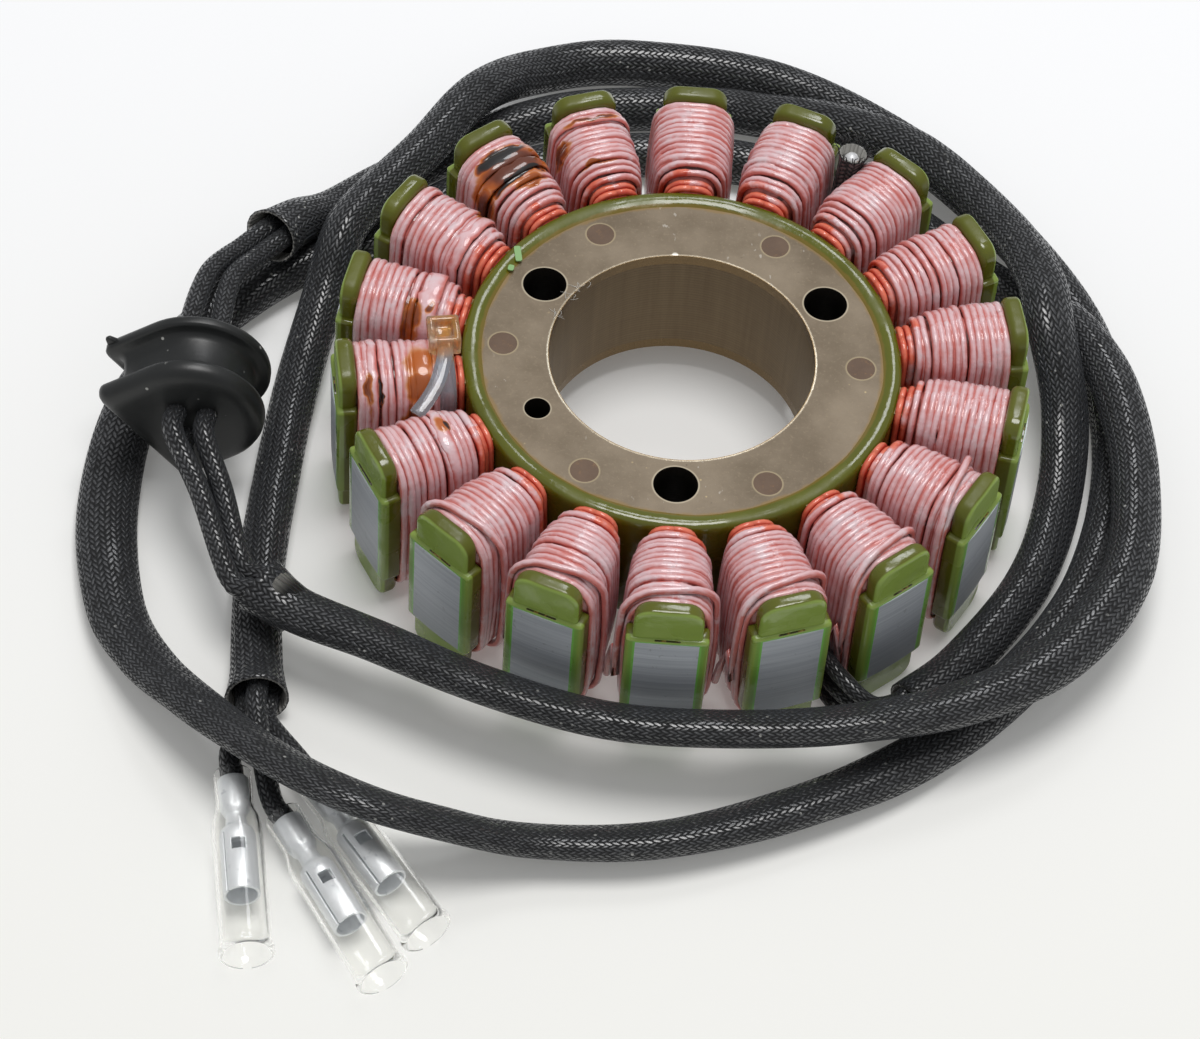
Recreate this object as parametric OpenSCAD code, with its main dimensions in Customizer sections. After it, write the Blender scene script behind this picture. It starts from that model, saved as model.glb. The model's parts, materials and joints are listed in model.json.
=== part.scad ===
// Wound generator stator with its lead harness, lying flat.
// Millimetres. Origin on the axis at the base, +Z up, front pole towards -Y.

/* [Core] */
// Diameter over the ground pole faces
pole_d = 104; // [102.5:0.5:105.5]
// Diameter of the centre bore
bore_d = 39.6; // [38.8:0.2:40.4]
// Height of the lamination stack
stack_h = 17.4; // [16.6:0.2:18.2]
// Thickness of each end plate
plate_t = 1.8; // [1.6:0.1:2]
// Outer diameter of the steel hub ring
yoke_d = 64; // [63.4:0.2:64.6]
// Diameter of the bare face inside the coated rim
face_d = 60; // [59:0.2:61]
// Width of each steel arm
arm_w = 5.2; // [5:0.1:5.4]
// Width of each ground pole face
head_w = 9.1; // [8.7:0.1:9.5]
// Depth of each steel pole head
head_t = 2.8; // [2.6:0.1:3]

/* [Lips] */
// Rise of the coated lips beyond the hub faces
lip_rise = 4.6; // [4.3:0.1:4.9]
// Width of each steel lip
lip_w = 9.2; // [8.8:0.1:9.4]
// Thickness of each steel lip
lip_t = 1.8; // [1.6:0.1:1.9]
// Corner radius of each steel lip
lip_round = 2.2; // [1.8:0.1:2.6]

/* [Coat] */
// Coat thickness on the rim, arms and backs of the heads
coat_t = 0.6; // [0.5:0.05:0.7]
// Coat thickness on the lips
lip_coat = 0.4; // [0.3:0.05:0.5]
// Coat thickness on the sides of the heads
head_coat = 1.4; // [1.1:0.1:1.5]
// Corner radius of the coated arms
arm_round = 1.2; // [1:0.1:1.4]

/* [Holes] */
// Pitch circle of the three mounting holes
mount_pcd = 48.8; // [48.2:0.2:49.4]
// Diameter of the mounting holes
mount_hole_d = 6.5; // [6.3:0.1:6.7]
// Pitch circle of the six rivets
rivet_pcd = 53.2; // [52.8:0.2:53.6]
// Diameter of the rivets
rivet_d = 4.2; // [4:0.1:4.4]
// Distance of the locating hole from the axis
locate_r = 24; // [23.6:0.2:24.4]
// Diameter of the locating hole
locate_d = 3.8; // [3.6:0.1:4]

/* [Coils] */
// Turns in the outer layer of each coil
coil_turns = 14; // [12:1:16]
// Build of a coil beside the rim
build_hub = 1.7; // [1.5:0.1:1.8]
// Build of a coil behind the pole head
build_tip = 3.1; // [2.8:0.1:3.2]
// Depth of the grooves between turns
groove = 0.3; // [0.2:0.05:0.4]

/* [Tie and splice] */
// Width of the tie's strap
strap_w = 2.5; // [2.3:0.1:2.7]
// Thickness of the tie's strap
strap_t = 0.9; // [0.8:0.1:1]
// Distance of the strap's middle from the hub end of the coil
tie_in = 2.6; // [2.4:0.1:3]
// Width of the tie's head, along the pole
tie_head_w = 4.6; // [4.4:0.1:4.8]
// Length of the tie's head, across the pole
tie_head_l = 5.2; // [5:0.1:5.3]
// Height of the tie's head
tie_head_h = 3.4; // [3.2:0.1:3.6]
// Distance of the head's middle from the middle of the pole
tie_head_at = 3.1; // [2.8:0.1:3.4]
// Outer diameter of the splice sleeve
splice_d = 3.6; // [3.4:0.1:3.8]
// Length of the splice sleeve
splice_l = 17; // [15:0.5:19]

/* [Harness] */
// Outer diameter of the braided sleeves
sleeve_d = 7; // [6.4:0.2:7]
// Outer diameter of each lead
lead_d = 3.2; // [3:0.1:3.4]

/* [Grommet] */
// Width of the grommet across its flat side
grommet_w = 21.8; // [21.2:0.2:22.4]
// Depth from the flat side to the top of the arch
grommet_h = 20.8; // [20.2:0.2:21.4]
// Thickness of the front flange
flange_t = 3.2; // [3:0.1:3.4]
// Thickness of the back flange
back_flange_t = 1.8; // [1.6:0.1:2]
// Width of the groove between the flanges
slot_w = 6.8; // [6.4:0.2:7.2]
// Depth of the groove between the flanges
slot_depth = 2.2; // [2:0.1:2.4]

/* [Terminals] */
// Outer diameter of the clear sleeves
clear_d = 7.4; // [7.2:0.1:7.6]
// Wall of the clear sleeves
clear_wall = 0.6; // [0.5:0.05:0.7]
// Length of the clear sleeves
clear_l = 30; // [29.6:0.1:30.4]
// Bore of the bullet terminals
socket_d = 4; // [3.9:0.05:4.1]
// Outer diameter of the bullet terminals
barrel_d = 5.2; // [5:0.1:5.4]

/* [Hidden] */
$fn = 64;
POLES = 18;
STEP = 360 / POLES;
EPS = 0.01;
// Overlap of the cut rooms for lips and heads
LAP = 0.05;
pole_r = pole_d / 2;
yoke_r = yoke_d / 2;
face_r = face_d / 2;
hub_h = stack_h + 2 * plate_t;
hub_z = lip_rise;
hub_top = lip_rise + hub_h;
mid_z = lip_rise + hub_h / 2;
total_h = hub_h + 2 * lip_rise;
rim_r = yoke_r + coat_t;
// Coated back face of the pole heads
back_r = pole_r - head_t - coat_t;
lip_in = back_r + lip_coat;
lip_out = lip_in + lip_t;
// Coated arm, as wide and high as the hole through a coil
tube_w = arm_w + 2 * coat_t;
tube_h = hub_h + 2 * coat_t;
base_w = head_w + 2 * head_coat;
base_h = stack_h + 2 * coat_t;
coil_in = rim_r + 0.1;
coil_pitch = (back_r - coil_in) / coil_turns;
// Gap between the tie and the coil that it holds
tie_gap = 0.05;
tie_r = coil_in + tie_in;
// Terminal lengths, measured from the mouth of its clear sleeve
barrel_z = 9.5;
barrel_l = 10.5;
socket_l = 9;
neck_d = barrel_d - 0.8;
clear_neck_z = 21;
rest_z = clear_d / 2 + 0.2;
grommet_t = flange_t + slot_w + back_flange_t;

// Mouths and headings of the three terminals
TERMINALS = [
  [[-55, -95, rest_z], 100],
  [[-36, -97, rest_z], 123],
  [[-30.5, -89.5, rest_z], 127]
];

// Grommet's low corner on its front face, and the turn of its flat side
GROMMET_AT = [-73.7, -10.8, 0.5];
GROMMET_TURN = 126;
// Holes through the grommet, along its flat side and up from it
HOLES = [[9, 7.8], [11, 13.1], [14, 9.7]];
HOLES_MID = (HOLES[0] + HOLES[1] + HOLES[2]) / 3;

// Directions of the three leads in the open end of a sleeve
FAN = [274, 154, 34];
STATOR_FAN = [240, 0, 120];
PLUG_FAN = [330, 90, 210];

// Routes, as angle, distance from the axis and height
SLEEVE_1 = [
  [309, 57.4, 3.5], [320, 57.4, 3.5], [338, 58, 3.5], [354, 59, 4], [8, 60.2, 8.6],
  [20, 60.2, 15.8], [29, 63, 15.4], [40, 66, 12.2], [54, 68.8, 10.6], [62, 70, 9.6],
  [72, 70.8, 7.2], [80, 71.4, 4.8], [88, 72, 3.6], [106, 71.6, 3.5], [122, 70.2, 3.5],
  [134, 69.6, 4], [144, 69.6, 6.4], [150, 70.4, 10.2], [155, 71, 11.2]
];
SLEEVE_2 = [
  [212, 70, 10.8], [218, 66.7, 11.1], [228, 61.5, 11.5], [244, 58.3, 12], [262, 57.6, 12],
  [280, 58, 12], [297, 61, 11.8], [313, 65.8, 11.2], [327, 70, 11], [341, 71.7, 10.8],
  [356, 69.8, 10.8], [10, 68.3, 10.8], [20, 66.4, 10.2], [25, 64.8, 8.9], [30, 63, 6.5],
  [40, 61.3, 4], [56, 61.3, 3.5], [75, 61.3, 3.5], [94, 61.3, 3.5], [112, 61.3, 3.5],
  [128, 60.9, 3.5], [141, 60.9, 3.5], [147, 63, 3.5], [152, 68, 3.5], [166, 76, 3.5],
  [178, 82.4, 3.5], [192, 86, 3.5], [204, 88.4, 3.5], [212, 88.2, 5], [220, 87, 8], [231, 86, 11],
  [240, 84.5, 12], [248, 80, 8.5], [257, 75, 4], [271, 71, 3.5], [288, 67, 3.5], [306, 65.5, 3.5],
  [324, 65.2, 3.5], [341, 66.2, 3.5], [358, 67.4, 3.5], [13, 69, 3.5], [28, 70.6, 3.5],
  [45, 72, 3.5], [62, 75.6, 3.5], [80, 80, 3.5], [97, 82, 3.5], [108, 80.5, 5], [118, 73.5, 10.8],
  [130, 66, 11.6], [144, 63.2, 11.6], [150, 62, 10.6], [158, 60, 6.4], [174, 58.6, 3.5],
  [191, 60.6, 3.5], [208, 68, 3.5], [222, 78.2, 3.5]
];

// Angle of a pole, counted clockwise from the rear-left one
function pole_at(k) = 270 + STEP * (11 - k);
function polar(p) = [p[1] * cos(p[0]), p[1] * sin(p[0]), p[2]];
function route(list) = [for (p = list) polar(p)];
function unit(v) = v / norm(v);
// A point of the grommet, along its flat side, up from it and back from its front face
function grommet_point(a, b, y) = GROMMET_AT + [
  a * cos(GROMMET_TURN) + b * sin(GROMMET_TURN),
  y,
  a * sin(GROMMET_TURN) - b * cos(GROMMET_TURN)
];
// A point of a terminal, along its axis from the mouth
function terminal_point(k, s) = TERMINALS[k][0] + s * [cos(TERMINALS[k][1]), sin(TERMINALS[k][1]), 0];

// Flat shapes
module rounded(w, h, r) {
  square([w - 2 * r, h], center = true);
  square([w, h - 2 * r], center = true);
  for (x = [-1, 1], y = [-1, 1])
    translate([x * (w / 2 - r), y * (h / 2 - r)])
      circle(r);
}

// A tab on the line y = 0 with two rounded top corners
module tab(w, h, r) {
  translate([-w / 2, 0])
    square([w, h - r]);
  translate([-w / 2 + r, 0])
    square([w - 2 * r, h]);
  for (x = [-1, 1])
    translate([x * (w / 2 - r), h - r])
      circle(r);
}

module hub_holes() {
  circle(d = bore_d);
  for (a = [30, 150, 270])
    rotate(a)
      translate([mount_pcd / 2, 0])
        circle(d = mount_hole_d);
  rotate(210)
    translate([locate_r, 0])
      circle(d = locate_d);
  for (a = [0 : 60 : 300])
    rotate(a)
      translate([rivet_pcd / 2, 0])
        circle(d = rivet_d);
}

module arms(reach) {
  for (k = [1 : POLES])
    rotate(pole_at(k))
      translate([yoke_r - 2, -arm_w / 2])
        square([reach - yoke_r + 2, arm_w]);
}

module pole_heads() {
  intersection() {
    circle(pole_r, $fn = 180);
    for (k = [1 : POLES])
      rotate(pole_at(k))
        translate([pole_r - head_t, -head_w / 2])
          square([head_t + 1, head_w]);
  }
}

// Core
module lamination_stack() {
  translate([0, 0, hub_z + plate_t])
    linear_extrude(stack_h)
      difference() {
        union() {
          circle(yoke_r, $fn = 120);
          arms(pole_r - head_t / 2);
          pole_heads();
        }
        hub_holes();
      }
}

// An end plate lying on z = 0 with its lips standing up
module end_plate() {
  linear_extrude(plate_t)
    difference() {
      union() {
        circle(yoke_r, $fn = 120);
        arms(lip_out - 0.5);
      }
      hub_holes();
    }
  for (k = [1 : POLES])
    rotate([0, 0, pole_at(k)])
      translate([lip_in, 0, 0])
        rotate([90, 0, 90])
          linear_extrude(lip_t)
            tab(lip_w, plate_t + lip_rise - lip_coat, lip_round);
}

module end_plate_top() {
  translate([0, 0, hub_top - plate_t])
    end_plate();
}

module end_plate_bottom() {
  translate([0, 0, hub_z + plate_t])
    mirror([0, 0, 1])
      end_plate();
}

module rivets() {
  for (a = [0 : 60 : 300])
    rotate([0, 0, a])
      translate([rivet_pcd / 2, 0, hub_z])
        cylinder(d = rivet_d, h = hub_h);
}

// The bead of coat round the rim, before the steel is taken out of it
module coat_rim() {
  bead = coat_t;
  rotate_extrude($fn = 120)
    polygon([
      [face_r, hub_z],
      [face_r + 0.3, hub_z - bead],
      [yoke_r, hub_z - bead],
      [rim_r, hub_z + 0.2],
      [rim_r, hub_top - 0.2],
      [yoke_r, hub_top + bead],
      [face_r + 0.3, hub_top + bead],
      [face_r, hub_top]
    ]);
}

module coat_pole() {
  translate([yoke_r - 1, 0, mid_z])
    rotate([90, 0, 90])
      linear_extrude(back_r - yoke_r + 2)
        rounded(tube_w, tube_h, arm_round);
  intersection() {
    cylinder(r = pole_r, h = total_h, $fn = 180);
    translate([back_r, -base_w / 2, mid_z - base_h / 2])
      cube([head_t + coat_t + 1, base_w, base_h]);
  }
  translate([back_r, 0, mid_z])
    rotate([90, 0, 90])
      linear_extrude(lip_t + 2 * lip_coat)
        rounded(lip_w + 2 * lip_coat, total_h, lip_round + lip_coat);
}

// Room for the steel inside the coat, open through the ground pole faces
module steel_room() {
  translate([0, 0, hub_z + plate_t])
    linear_extrude(stack_h)
      for (k = [1 : POLES])
        rotate(pole_at(k))
          translate([pole_r - head_t, -head_w / 2])
            square([head_t + 1, head_w]);
  translate([0, 0, hub_z])
    linear_extrude(hub_h) {
      circle(yoke_r, $fn = 120);
      arms(lip_out - 0.5);
    }
  for (k = [1 : POLES], side = [0, 1])
    rotate([0, 0, pole_at(k)])
      translate([lip_in, 0, mid_z])
        mirror([0, 0, side])
          translate([0, 0, stack_h / 2 - LAP])
            rotate([90, 0, 90])
              linear_extrude(lip_t)
                tab(lip_w, LAP + plate_t + lip_rise - lip_coat, lip_round);
}

module epoxy_coat() {
  difference() {
    union() {
      coat_rim();
      for (k = [1 : POLES])
        rotate([0, 0, pole_at(k)])
          coat_pole();
    }
    steel_room();
  }
}

// Coils
function build(i) = i == 0
  ? build_hub - 0.6
  : build_hub + (build_tip - build_hub) * min(1, floor(i / 2) * 2.4 / coil_turns);

// Section of a coil's wall: distance from the arm's corner line, then distance from the axis
module coil_section() {
  top = [
    for (i = [0 : coil_turns - 1])
      for (e = [[0.04, groove], [0.28, 0], [0.72, 0], [0.96, groove]])
        [arm_round + build(i) - e[1], coil_in + (i + e[0]) * coil_pitch]
  ];
  polygon(concat([[arm_round, coil_in]], [[top[0][0], coil_in]], top,
    [[top[len(top) - 1][0], back_r]], [[arm_round, back_r]]));
}

module coil_side(cx, cy) {
  translate([cx, cy, 0])
    rotate([90, 0, 0])
      linear_extrude(2 * cy)
        coil_section();
}

module coil(k) {
  cx = tube_w / 2 - arm_round;
  cy = tube_h / 2 - arm_round;
  color([0.84, 0.55, 0.5])
    rotate([0, 0, pole_at(k)])
      translate([0, 0, mid_z])
        rotate([90, 0, 90])
          union() {
            coil_side(cx, cy);
            rotate([0, 0, 180])
              coil_side(cx, cy);
            rotate([0, 0, 90])
              coil_side(cy, cx);
            rotate([0, 0, 270])
              coil_side(cy, cx);
            for (q = [[0, cx, cy], [90, -cx, cy], [180, -cx, -cy], [270, cx, -cy]])
              translate([q[1], q[2], 0])
                rotate([0, 0, q[0]])
                  rotate_extrude(angle = 90)
                    coil_section();
          }
}

// Tie round one coil, its head on top of the coil
module cable_tie() {
  turn_below = floor((tie_in + max(strap_w, tie_head_w) / 2) / coil_pitch) + 1;
  grow = build(turn_below) + tie_gap;
  in_w = tube_w + 2 * grow;
  in_h = tube_h + 2 * grow;
  color([0.85, 0.75, 0.5])
    rotate([0, 0, pole_at(15)])
      union() {
        translate([tie_r - strap_w / 2, 0, mid_z])
          rotate([90, 0, 90])
            linear_extrude(strap_w)
              difference() {
                rounded(in_w + 2 * strap_t, in_h + 2 * strap_t, arm_round + grow + strap_t);
                rounded(in_w, in_h, arm_round + grow);
              }
        translate([tie_r - tie_head_w / 2, -tie_head_at - tie_head_l / 2, mid_z + in_h / 2])
          cube([tie_head_w, tie_head_l, tie_head_h]);
      }
}

// Star-point joint in its sleeve, standing in the slot between two coils
module splice_at() {
  rotate([0, 0, 60])
    translate([46, 0, hub_top + 2.6 - splice_l])
      children();
}

module neutral_splice() {
  color([0.8, 0.8, 0.82])
    splice_at()
      cylinder(d = splice_d - 1, h = splice_l - 1.2);
}

module neutral_splice_sleeve() {
  color([0.2, 0.21, 0.22])
    splice_at()
      difference() {
        cylinder(d = splice_d, h = splice_l);
        translate([0, 0, -1])
          cylinder(d = splice_d - 1, h = splice_l + 2);
      }
}

// A tube swept along a line of points
module cord(pts, d, n) {
  m = len(pts);
  dirs = [for (i = [0 : m - 1]) unit(pts[min(i + 1, m - 1)] - pts[max(i - 1, 0)])];
  ring = [
    for (i = [0 : m - 1])
      let (s = unit(cross(dirs[i], [0, 0, 1])), v = cross(s, dirs[i]))
        for (k = [0 : n - 1])
          pts[i] + d / 2 * (cos(360 * k / n) * s + sin(360 * k / n) * v)
  ];
  sides = [
    for (i = [0 : m - 2])
      for (k = [0 : n - 1])
        let (a = i * n + k, b = i * n + (k + 1) % n)
          for (f = [[a, b, b + n], [a, b + n, a + n]])
            f
  ];
  polyhedron(
    points = ring,
    faces = concat([[for (k = [n - 1 : -1 : 0]) k]], sides, [[for (k = [0 : n - 1]) (m - 1) * n + k]]),
    convexity = 6
  );
}

module harness_sleeve(list) {
  color([0.14, 0.15, 0.16])
    cord(route(list), sleeve_d, 10);
}

module lead(pts) {
  color([0.12, 0.12, 0.13])
    cord(pts, lead_d, 8);
}

// Place of a lead in the open end of a sleeve, across the way the sleeve runs
function fanned(dir, angle) =
  let (side = unit(cross(dir, [0, 0, 1])), up = cross(side, dir))
    1.1 * lead_d / sqrt(3) * (cos(angle) * side + sin(angle) * up);
// A lead's points beside the middle of its bundle, going from one offset to another
function beside(mid, from, to) =
  [for (i = [0 : 4]) mid[i] + from + (to - from) * [0, 0, 0.5, 1, 1][i]];
// Diameter of a lead inside the stator, where its braid is off
bare_d = lead_d * 0.75;
// Place of a lead's hole in the grommet, from the middle of the three
function from_mid(k) =
  grommet_point(HOLES[k][0], HOLES[k][1], 0) - grommet_point(HOLES_MID[0], HOLES_MID[1], 0);

// Leads from the slot between two poles into the start of the first sleeve
module stator_lead(k) {
  start = route(SLEEVE_1)[0];
  dir = unit(route(SLEEVE_1)[1] - start);
  mid = [polar([300, 44.5, 5.5]), polar([300, 51, 5.5]), polar([302.5, 57, 5]), start - 2 * dir, start];
  color([0.12, 0.12, 0.13])
    cord(beside(mid, [0, 0, (k - 1) * 3.6], fanned(dir, STATOR_FAN[k])), bare_d, 8);
}

// Leads from the end of the first sleeve to the back of the grommet
module inner_lead(k) {
  pts = route(SLEEVE_1);
  end = pts[len(pts) - 1];
  dir = unit(end - pts[len(pts) - 2]);
  hole = grommet_point(HOLES_MID[0], HOLES_MID[1], grommet_t);
  mid = [end, end + 5 * dir, [-70.9, 17.5, 14.8], hole + [0, 6, 0], hole];
  lead(beside(mid, fanned(dir, FAN[k]), from_mid(k)));
}

// Leads from the front of the grommet to the start of the second sleeve
module middle_lead(k) {
  start = route(SLEEVE_2)[0];
  dir = unit(route(SLEEVE_2)[1] - start);
  hole = grommet_point(HOLES_MID[0], HOLES_MID[1], 0);
  mid = [hole, hole - [0, 4, 0], [-67.8, -23, 13.2], start - 4 * dir, start];
  lead(beside(mid, from_mid(k), fanned(dir, FAN[k])));
}

// Leads from the end of the second sleeve to the terminals
module plug_lead(k) {
  pts = route(SLEEVE_2);
  end = pts[len(pts) - 1];
  dir = unit(end - pts[len(pts) - 2]);
  at = end + fanned(dir, PLUG_FAN[k]);
  lead([at, at + 3 * dir, terminal_point(k, clear_l + 4), terminal_point(k, clear_l)]);
}

// Arch shape of the grommet, drawn in by a given margin
module arch(inset) {
  r = grommet_w / 2 - inset;
  translate([inset, inset])
    square([2 * r, grommet_h - grommet_w / 2 - inset]);
  translate([grommet_w / 2, grommet_h - grommet_w / 2])
    circle(r);
}

module grommet() {
  color([0.11, 0.115, 0.12])
    translate(GROMMET_AT)
      rotate([-90, 0, 0])
        rotate([0, 0, -GROMMET_TURN]) {
          linear_extrude(flange_t)
            arch(0);
          translate([0, 0, flange_t])
            linear_extrude(slot_w)
              arch(slot_depth);
          translate([0, 0, flange_t + slot_w])
            linear_extrude(back_flange_t)
              arch(0);
        }
}

// Terminals
module at_terminal(k) {
  translate(TERMINALS[k][0])
    rotate([0, 0, TERMINALS[k][1]])
      rotate([0, 90, 0])
        children();
}

module terminal(k) {
  color([0.78, 0.79, 0.8])
    at_terminal(k)
      difference() {
        union() {
          translate([0, 0, barrel_z])
            cylinder(d = barrel_d, h = barrel_l);
          translate([0, 0, barrel_z + barrel_l - EPS])
            cylinder(d = neck_d, h = clear_l - barrel_z - barrel_l + EPS);
        }
        translate([0, 0, barrel_z - 1])
          cylinder(d = socket_d, h = socket_l + 1);
        translate([-barrel_d, -1.1, barrel_z + 6.4])
          cube([barrel_d, 2.2, 1.8]);
      }
}

module terminal_sleeve(k) {
  color([0.92, 0.93, 0.93, 0.4])
    at_terminal(k)
      difference() {
        union() {
          cylinder(d = clear_d, h = clear_neck_z);
          cylinder(d = clear_d + 0.4, h = 1.2);
          translate([0, 0, clear_neck_z - EPS])
            cylinder(d1 = clear_d, d2 = neck_d + 2 * clear_wall, h = 3);
          translate([0, 0, clear_neck_z])
            cylinder(d = neck_d + 2 * clear_wall, h = clear_l - clear_neck_z);
        }
        translate([0, 0, -1])
          cylinder(d = clear_d - 2 * clear_wall, h = clear_neck_z + 1);
        translate([0, 0, -1])
          cylinder(d = neck_d, h = clear_l + 2);
      }
}

color([0.62, 0.63, 0.65]) lamination_stack();
color([0.55, 0.49, 0.41]) end_plate_top();
color([0.55, 0.49, 0.41]) end_plate_bottom();
color([0.46, 0.39, 0.34]) rivets();
color([0.4, 0.46, 0.19]) epoxy_coat();
coil(1);  // coil_01
coil(2);  // coil_02
coil(3);  // coil_03
coil(4);  // coil_04
coil(5);  // coil_05
coil(6);  // coil_06
coil(7);  // coil_07
coil(8);  // coil_08
coil(9);  // coil_09
coil(10);  // coil_10
coil(11);  // coil_11
coil(12);  // coil_12
coil(13);  // coil_13
coil(14);  // coil_14
coil(15);  // coil_15
coil(16);  // coil_16
coil(17);  // coil_17
coil(18);  // coil_18
cable_tie();
neutral_splice();
neutral_splice_sleeve();
harness_sleeve(SLEEVE_1);  // harness_sleeve_1
harness_sleeve(SLEEVE_2);  // harness_sleeve_2
stator_lead(0);  // stator_lead_1
stator_lead(1);  // stator_lead_2
stator_lead(2);  // stator_lead_3
inner_lead(0);  // inner_lead_1
inner_lead(1);  // inner_lead_2
inner_lead(2);  // inner_lead_3
middle_lead(0);  // middle_lead_1
middle_lead(1);  // middle_lead_2
middle_lead(2);  // middle_lead_3
plug_lead(0);  // plug_lead_1
plug_lead(1);  // plug_lead_2
plug_lead(2);  // plug_lead_3
grommet();
terminal(0);  // terminal_1
terminal(1);  // terminal_2
terminal(2);  // terminal_3
terminal_sleeve(0);  // terminal_sleeve_1
terminal_sleeve(1);  // terminal_sleeve_2
terminal_sleeve(2);  // terminal_sleeve_3
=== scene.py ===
"""Looks of a wound generator stator and its braided harness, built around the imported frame."""
import json
import math
import random

import bmesh
import bpy
from mathutils import Matrix, Vector
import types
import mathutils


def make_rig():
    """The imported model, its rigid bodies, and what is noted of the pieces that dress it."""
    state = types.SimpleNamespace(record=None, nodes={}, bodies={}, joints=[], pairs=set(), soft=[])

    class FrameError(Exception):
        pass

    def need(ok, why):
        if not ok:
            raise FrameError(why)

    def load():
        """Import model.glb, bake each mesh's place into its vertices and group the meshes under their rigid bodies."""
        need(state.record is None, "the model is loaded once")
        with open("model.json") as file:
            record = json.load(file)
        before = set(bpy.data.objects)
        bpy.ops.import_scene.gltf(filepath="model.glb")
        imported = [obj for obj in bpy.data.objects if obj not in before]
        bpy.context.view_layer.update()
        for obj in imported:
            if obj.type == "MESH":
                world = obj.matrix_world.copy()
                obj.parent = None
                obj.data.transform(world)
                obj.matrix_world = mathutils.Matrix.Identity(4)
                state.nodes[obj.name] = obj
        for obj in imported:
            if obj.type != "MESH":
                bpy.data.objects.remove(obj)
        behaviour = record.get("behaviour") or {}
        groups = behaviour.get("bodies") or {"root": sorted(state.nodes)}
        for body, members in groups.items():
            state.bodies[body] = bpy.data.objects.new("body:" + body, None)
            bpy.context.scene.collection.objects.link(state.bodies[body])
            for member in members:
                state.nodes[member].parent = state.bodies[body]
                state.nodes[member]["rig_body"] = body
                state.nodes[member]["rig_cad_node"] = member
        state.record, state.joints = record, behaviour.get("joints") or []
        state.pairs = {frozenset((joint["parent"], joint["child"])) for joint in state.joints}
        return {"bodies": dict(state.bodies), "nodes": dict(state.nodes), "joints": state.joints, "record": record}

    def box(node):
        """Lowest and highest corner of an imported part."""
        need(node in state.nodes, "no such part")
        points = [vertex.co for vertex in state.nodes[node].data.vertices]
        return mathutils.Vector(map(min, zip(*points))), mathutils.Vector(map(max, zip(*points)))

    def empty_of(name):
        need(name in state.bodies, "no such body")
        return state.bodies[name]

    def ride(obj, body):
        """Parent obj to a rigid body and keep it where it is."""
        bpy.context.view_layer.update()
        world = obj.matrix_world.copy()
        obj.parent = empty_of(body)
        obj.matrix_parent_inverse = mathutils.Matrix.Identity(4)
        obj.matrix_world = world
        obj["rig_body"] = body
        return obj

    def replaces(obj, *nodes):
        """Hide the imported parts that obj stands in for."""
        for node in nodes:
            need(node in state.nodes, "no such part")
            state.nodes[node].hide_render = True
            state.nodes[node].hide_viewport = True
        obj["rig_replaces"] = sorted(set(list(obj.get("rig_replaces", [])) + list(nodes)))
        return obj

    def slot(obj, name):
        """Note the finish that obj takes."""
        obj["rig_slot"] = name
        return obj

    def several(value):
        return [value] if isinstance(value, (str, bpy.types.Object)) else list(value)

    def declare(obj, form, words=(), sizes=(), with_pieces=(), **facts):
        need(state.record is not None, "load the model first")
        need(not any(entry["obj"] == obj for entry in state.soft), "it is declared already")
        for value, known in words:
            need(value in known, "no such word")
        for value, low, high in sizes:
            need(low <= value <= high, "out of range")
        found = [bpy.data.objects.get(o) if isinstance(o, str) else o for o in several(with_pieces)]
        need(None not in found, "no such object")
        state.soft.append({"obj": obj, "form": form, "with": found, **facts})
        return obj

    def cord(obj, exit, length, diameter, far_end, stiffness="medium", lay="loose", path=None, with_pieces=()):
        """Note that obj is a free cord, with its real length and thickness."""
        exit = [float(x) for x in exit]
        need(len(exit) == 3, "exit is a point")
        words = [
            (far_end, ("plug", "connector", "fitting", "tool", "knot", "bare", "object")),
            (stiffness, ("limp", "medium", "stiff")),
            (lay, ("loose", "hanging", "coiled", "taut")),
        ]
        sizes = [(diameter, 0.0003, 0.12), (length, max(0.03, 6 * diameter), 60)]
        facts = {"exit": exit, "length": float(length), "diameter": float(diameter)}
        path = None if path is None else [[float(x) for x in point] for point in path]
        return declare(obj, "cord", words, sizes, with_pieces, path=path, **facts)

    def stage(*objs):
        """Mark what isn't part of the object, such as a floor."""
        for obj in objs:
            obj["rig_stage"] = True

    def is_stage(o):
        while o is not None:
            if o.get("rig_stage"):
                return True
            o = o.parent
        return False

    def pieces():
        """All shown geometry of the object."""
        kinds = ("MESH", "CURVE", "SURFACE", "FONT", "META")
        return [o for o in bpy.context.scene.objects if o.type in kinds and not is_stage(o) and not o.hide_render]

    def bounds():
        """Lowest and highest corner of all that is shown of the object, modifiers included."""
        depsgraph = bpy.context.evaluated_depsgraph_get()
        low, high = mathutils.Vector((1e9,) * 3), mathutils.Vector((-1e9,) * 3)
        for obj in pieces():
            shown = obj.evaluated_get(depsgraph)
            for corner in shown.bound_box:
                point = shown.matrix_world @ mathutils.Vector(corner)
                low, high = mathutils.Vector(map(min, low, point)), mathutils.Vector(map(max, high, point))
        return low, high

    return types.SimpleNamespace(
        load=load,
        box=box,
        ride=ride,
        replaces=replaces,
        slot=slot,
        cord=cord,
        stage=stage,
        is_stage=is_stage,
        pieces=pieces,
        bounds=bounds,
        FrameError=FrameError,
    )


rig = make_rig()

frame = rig.load()
cad_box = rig.bounds()

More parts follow.
